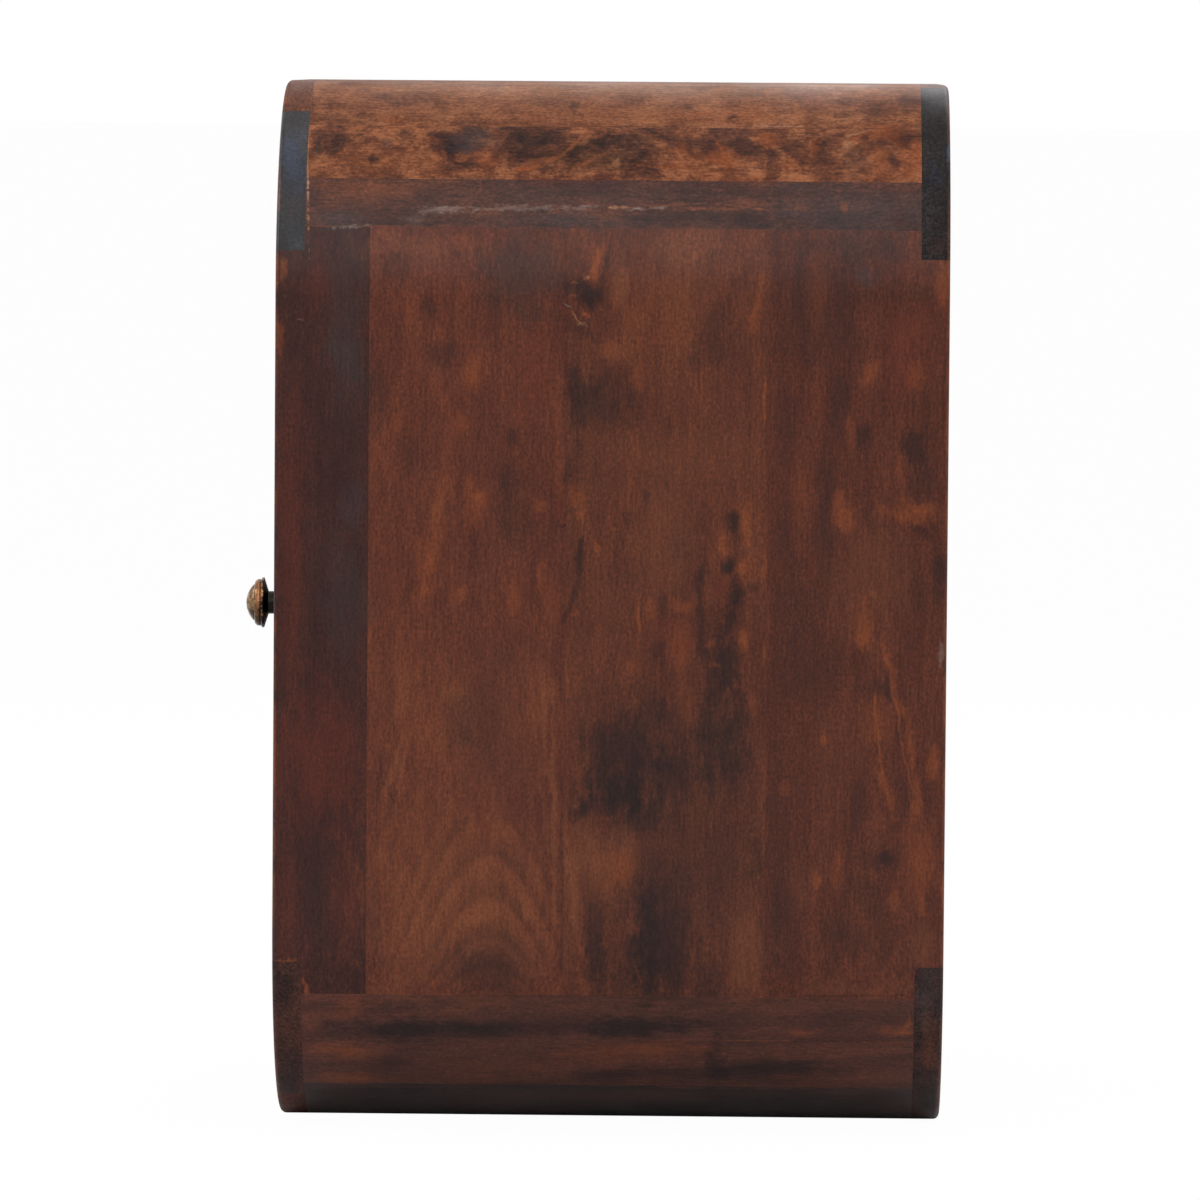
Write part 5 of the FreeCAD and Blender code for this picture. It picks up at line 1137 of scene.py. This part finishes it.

# %% [markdown]
# ## End blocks and rails
#
# The blocks close the corners at the front and back. Their grain runs across the cabinet, so the side shows
# their end grain, which drinks stain and turns nearly black. The cool shine on the top blocks is painted: the
# blue cast in the front block's tones and the blue sheen marks are painted reflections. The rails between
# them run the same way and show their long grain on the front.

# %% Blocks and rails
BLOCK_LOOKS = dict(pith=(0.1, 0.3, 0.0), ring_width=0.004, rings=0.06, rub=0.25)
BLOCK_LOOKS |= dict(clouds=1.3, mottle=1.5, fibre=1.05)
LOW_STAIN = dict(tones=WARM_END_GRAIN, shine=0.1, roughness=(0.40, 0.55))
BLOCK_STAINS = {
    ("top", "front"): dict(tones=END_GRAIN_WITH_PAINTED_SHEEN, shine=0.16, roughness=(0.30, 0.42)),
    ("top", "back"): dict(tones=DARK_END_GRAIN, shine=0.07, coat=0.0, roughness=(0.44, 0.58)),
    ("bottom", "front"): LOW_STAIN,
    ("bottom", "back"): LOW_STAIN,
}
BLOCK_MARKS = (
    (-167.1, 544.9, 7.9, 10.7, 0, NEAR_BLACK, 0.6),
    # Painted reflection: a cool blue sheen on the middle of the front top block.
    (-169.5, 521.3, 5.5, 11.2, 0, PAINTED_BLUE_SHEEN, 0.7),
    (-166.1, 508.2, 5.7, 12.7, 0, PAINTED_BLUE_SHEEN, 0.5),
    (-166.9, 484.7, 6.2, 9.5, 0, GREY_BROWN, 0.4),
    # Painted shadow: near-black in the lower front corner of the front top block.
    (-171.7, 466.1, 3.1, 8, 0, NEAR_BLACK, 0.65),
    (-174, 490.4, 0.5, 9.8, -2, TAN, 0.5),
    (168.7, 575.2, 6.6, 18.7, 0, SLATE, 0.6),
    (168.6, 537.4, 6.3, 13.1, 0, NEAR_BLACK, 0.35),
    # Painted reflection: a faint blue sheen and a bright blue-white highlight at the back top block's edge.
    (166.1, 509.1, 3.9, 8.3, 0, PAINTED_BLUE_SHEEN, 0.2),
    (174.3, 522.5, 1.2, 7.8, 0, PAINTED_SKY_HIGHLIGHT, 0.35),
    (169.7, 477.5, 5.4, 7.1, 0, NEAR_BLACK, 0.4),
    (168.5, 466.4, 6.2, 5, 0, DARK, 0.4),
    (-167.5, 76, 6, 9, 0, NEAR_BLACK, 0.55),
    (-167.1, 49.9, 6.3, 19.9, 0, DARK, 0.4),
    (-168.6, 1.7, 6.3, 23.5, 0, NEAR_BLACK, 0.5),
    (167.5, 74, 6.5, 18, 0, SLATE, 0.4),
    (168.5, 54.1, 4.2, 19.3, 0, TAN, 0.2),
    (168.8, 39.1, 4.2, 10, 0, ORANGE, 0.12),
    (167.9, 3.2, 5.8, 17.1, 0, NEAR_BLACK, 0.5),
)
RAIL_LOOKS = dict(pith=(0.0, 0.3, 0.0), burl=0.3) | DULLER
seed = 50
for (level, end), stain in BLOCK_STAINS.items():
    tones = RAIL_END if level == "top" else FOOT
    name = f"{end}_{level}_rail"
    dress(name, wood_material(f"{name}_wood", "x", seed, tones=tones, **RAIL_LOOKS))
    for side in ("right", "left"):
        seed += 2
        name = f"{end}_{level}_{side}_block"
        marks = dict(patches=marks_near(name, BLOCK_MARKS)) if side == "right" else {}
        dress(name, wood_material(f"{name}_wood", "x", seed, **BLOCK_LOOKS | stain | marks))

# %% [markdown]
# ## Top, base, door and inside
#
# The flat boards run from front to back and carry on the golden stave's tone at the top. The door's boards
# stand upright and its battens lie across them. These and the back panel borrow the side's patches, moved so
# that they fall elsewhere. Inside, the wood has the same stain under a thinner, duller coat.

# %% The other boards
INSIDE = dict(shine=0.2, roughness=(0.45, 0.6), rub=0.0, mottle=0.5, clouds=0.7)
LYING_FLAT, STANDING_FLAT = "ZXY", "YXZ"  # the coordinates that go into a board, across it and along it


def flat_patches(name, flat, across, up, share, least=0.0):
    """The side's patches for a flat piece, moved by millimetres so that they fall elsewhere, and weaker.

    least is the smallest half size that is kept. A shader with over 200 marks may come out black.
    """
    large = [row for row in BOARD_MARKS if min(row[2:4]) >= least]
    moved = [(row[0] + across, row[1] + up) + row[2:6] + (row[6] * share,) for row in large]
    low, high = ([corner["XYZ".index(letter)] / MM for letter in flat[1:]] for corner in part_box(name))
    return dict(flat=flat, patches=[row for row in moved if reaches(row, low, high)])


for number in (1, 2):
    top, base = f"top_board_{number}", f"bottom_board_{number}"
    looks = dict(tones=GOLDEN, pith=(0.1 * number, 0.50, 0.0), burl=0.45, streak=0.6, mottle=1.1) | DULLER
    looks |= flat_patches(top, LYING_FLAT, 20, -250, 0.6)
    dress(top, wood_material(f"{top}_wood", "y", 70 + number, **looks))
    dress(base, wood_material(f"{base}_wood", "y", 74 + number, tones=SHADED, pith=(0.0, 0.1, 0.0)))
DOOR_TONES = (BROWN, AMBER, DEEP)
for number, tones in enumerate(DOOR_TONES, start=1):
    name = f"door_board_{number}"
    looks = dict(tones=tones, pith=(0.11 * number - 0.2, -0.10, 0.0), rub=0.0, clouds=0.8)
    looks |= flat_patches(name, STANDING_FLAT, -60, 0, 1.0)
    dress(name, wood_material(f"{name}_wood", "z", 80 + number, **looks))
for name, grain, number in (
    ("upper_door_batten", "x", 91),
    ("lower_door_batten", "x", 92),
    ("shelf", "x", 94),
    ("right_shelf_cleat", "y", 95),
    ("left_shelf_cleat", "y", 96),
):
    dress(name, wood_material(f"{name}_wood", grain, number, tones=BROWN, **INSIDE))
panel_looks = INSIDE | dict(mottle=0.8) | flat_patches("back_panel", STANDING_FLAT, 25, 20, 0.7, 4.0)
dress("back_panel", wood_material("back_panel_wood", "z", 93, tones=BROWN, **panel_looks))

# %% [markdown]
# ## The brass knob
#
# The knob is turned brass that has gone brown. A copper-coloured ring runs round its rim, partly bare copper
# and partly a painted highlight, and the underside and the stem are black with patina. Its lower half is
# darkened by painted shade. Metal has no colour of its own apart from what it reflects, so the patina and the
# painted shade are a darker metal, the patina laid on by the distance from the knob's tip and the shade by
# the height below its middle.

# %% Aged brass
BRASS = colour(0.34, 0.20, 0.088)
BRASS_BROWN = colour(0.105, 0.052, 0.024)
COPPER = colour(0.30, 0.125, 0.065)
# Dark metal for the patina on the stem and underside, and for the painted shade on the knob's lower half.
PATINA_AND_PAINTED_SHADE = colour(0.014, 0.012, 0.010)
KNOB_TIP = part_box("knob")[0].y
KNOB_MIDDLE = (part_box("knob")[0].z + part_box("knob")[1].z) / 2
PATINA_FROM = 0.0080  # metres from the knob's tip
COPPER_BAND = (0.0054, 0.0064, 0.0076, 0.0084)  # where the band starts, is full, fades and ends
PAINTED_SHADE_RISE = 0.0065  # metres below the knob's middle where the painted shade is full
WANDER = 0.0012  # metres that the edges of band, grime and patina wander
WANDERS_PER_METRE = 380.0
TARNISH_PER_METRE = 260.0
TARNISH_SPAN = (0.38, 0.62)
COPPER_SHARE, PAINTED_SHADE_SHARE = 0.7, 0.75
BRASS_ROUGHNESS = (0.21, 0.38)
PITS_PER_METRE = 900.0
PIT_RELIEF = 0.0002  # metres
PIT_BUMP = 0.3  # share of that relief
PAINTED_SHADE_WANDER = 3.0  # how much further the painted shade's edge wanders than the others


def brass_material():
    """Old brass for the knob: tarnish, a copper ring that is partly painted highlight, painted shade on the
    lower half, and patina.
    """
    material, tree, shader = new_material("aged_brass", metallic=1.0)
    place = add(tree, "ShaderNodeTexCoord").outputs["Object"]
    split = add(tree, "ShaderNodeSeparateXYZ", (place,)).outputs
    uneven = ramp(tree, cloud(tree, place, WANDERS_PER_METRE, 3.0)[0], *NOISE_SPAN, -WANDER, WANDER)
    depth = maths(tree, "ADD", maths(tree, "SUBTRACT", split["Y"], KNOB_TIP), uneven)
    down = maths(tree, "SUBTRACT", KNOB_MIDDLE, split["Z"])
    down = maths(tree, "ADD", down, maths(tree, "MULTIPLY", uneven, PAINTED_SHADE_WANDER))
    tarnish = rise(tree, cloud(tree, place, TARNISH_PER_METRE, 4.0, 0.65)[0], *TARNISH_SPAN)
    paint = blend(tree, tarnish, BRASS, BRASS_BROWN)
    starts, full, fades, ends = COPPER_BAND
    # A copper-coloured ring round the rim: partly bare copper, partly a painted highlight.
    copper = maths(tree, "MULTIPLY", rise(tree, depth, starts, full), rise(tree, depth, ends, fades))
    paint = blend(tree, maths(tree, "MULTIPLY", copper, COPPER_SHARE), paint, COPPER)
    # Painted shade: the knob darkens from its middle down towards its underside.
    painted_shade = maths(tree, "MULTIPLY", rise(tree, down, 0.0, PAINTED_SHADE_RISE), PAINTED_SHADE_SHARE)
    paint = blend(tree, painted_shade, paint, PATINA_AND_PAINTED_SHADE)
    back = rise(tree, depth, PATINA_FROM, PATINA_FROM + WANDER)
    paint = blend(tree, back, paint, PATINA_AND_PAINTED_SHADE)
    tree.links.new(paint, shader.inputs["Base Color"])
    tree.links.new(ramp(tree, tarnish, 0.0, 1.0, *BRASS_ROUGHNESS), shader.inputs["Roughness"])
    pits = cloud(tree, place, PITS_PER_METRE)[0]
    bump = {"Strength": PIT_BUMP, "Distance": PIT_RELIEF, "Height": pits}
    tree.links.new(add(tree, "ShaderNodeBump", bump).outputs[0], shader.inputs["Normal"])
    return material


dress("knob", brass_material())

# %% [markdown]
# ## Hinges, screws and catch
#
# These show when the door opens. They are plain hardware: brass leaves brushed along their length, bright
# steel screws, and a catch with a brown plastic housing.

# %% Hardware
ROUGHER_BETWEEN = 0.16  # how much rougher the metal is between its brush lines
BRUSH_RELIEF = 0.00005  # metres
BRUSH_BUMP = 0.2  # share of that relief
DULL_SPOTS_PER_METRE = 90.0
DULL_SPOT_SPAN = (0.45, 0.75)
SPARK_GRAIN_PER_METRE = 2600.0
SPARK_RELIEF = 0.0001
SPARK_BUMP = 0.3
SHADES_PER_METRE = 60.0
SHADE_SPAN = (0.2, 0.8)
PLASTIC_ROUGHNESS = (0.42, 0.58)
SHADE_SHARE = 0.7  # how dark the plastic's darker parts are


def metal_material(name, bright, dark, roughness, scale, stretch):
    """Metal with brush lines and a little tarnish. stretch makes the lines run along an axis."""
    material, tree, shader = new_material(name, metallic=1.0)
    place = add(tree, "ShaderNodeTexCoord").outputs["Object"]
    lines = cloud(tree, vectors(tree, "MULTIPLY", place, stretch), scale, 2.0)[0]
    tarnish = rise(tree, cloud(tree, place, DULL_SPOTS_PER_METRE, 3.0)[0], *DULL_SPOT_SPAN)
    tree.links.new(blend(tree, tarnish, bright, dark), shader.inputs["Base Color"])
    dull = ramp(tree, lines, *NOISE_SPAN, roughness, roughness + ROUGHER_BETWEEN)
    tree.links.new(dull, shader.inputs["Roughness"])
    bump = {"Strength": BRUSH_BUMP, "Distance": BRUSH_RELIEF, "Height": lines}
    tree.links.new(add(tree, "ShaderNodeBump", bump).outputs[0], shader.inputs["Normal"])
    return material


def plastic_material(name, tint):
    """Moulded plastic with a fine spark-eroded grain."""
    material, tree, shader = new_material(name, specular_ior_level=0.4)
    place = add(tree, "ShaderNodeTexCoord").outputs["Object"]
    grain = cloud(tree, place, SPARK_GRAIN_PER_METRE)[0]
    shade = rise(tree, cloud(tree, place, SHADES_PER_METRE)[0], *SHADE_SPAN)
    shaded = colour(*(SHADE_SHARE * part for part in tint[:3]))
    tree.links.new(blend(tree, shade, tint, shaded), shader.inputs["Base Color"])
    tree.links.new(ramp(tree, grain, *NOISE_SPAN, *PLASTIC_ROUGHNESS), shader.inputs["Roughness"])
    bump = {"Strength": SPARK_BUMP, "Distance": SPARK_RELIEF, "Height": grain}
    tree.links.new(add(tree, "ShaderNodeBump", bump).outputs[0], shader.inputs["Normal"])
    return material


BRUSHED_UPRIGHT, TUMBLED = (1.0, 1.0, 0.05), (1.0, 1.0, 1.0)
HINGE_BRASS = (colour(0.42, 0.28, 0.125), BRASS_BROWN)
SCREW_STEEL = (colour(0.55, 0.54, 0.52), colour(0.30, 0.28, 0.26))
CATCH_STEEL = (colour(0.50, 0.50, 0.51), colour(0.32, 0.31, 0.30))
hinge_finish = metal_material("hinge_brass", *HINGE_BRASS, 0.32, 1500.0, BRUSHED_UPRIGHT)
screw_finish = metal_material("screw_steel", *SCREW_STEEL, 0.25, 1200.0, TUMBLED)
catch_finish = metal_material("catch_steel", *CATCH_STEEL, 0.3, 1500.0, BRUSHED_UPRIGHT)
plastic_finish = plastic_material("catch_plastic", colour(0.060, 0.032, 0.020))
for name in nodes:
    if "hinge" in name:
        dress(name, screw_finish if name.endswith("screws") else hinge_finish)
for name in ("knob_screw", "catch_screws", "strike_screw"):
    dress(name, screw_finish)
for name in ("catch_magnet", "strike_plate"):
    dress(name, catch_finish)
dress("catch_case", plastic_finish)

# %% [markdown]
# ## Before closing
#
# One last look: no piece may still wear the bare material that it came with.

# %% Check and finish
bare = [name for name, piece in nodes.items() if not piece.material_slots[0].material.use_nodes]
print("Pieces without a finish:", bare or "none")
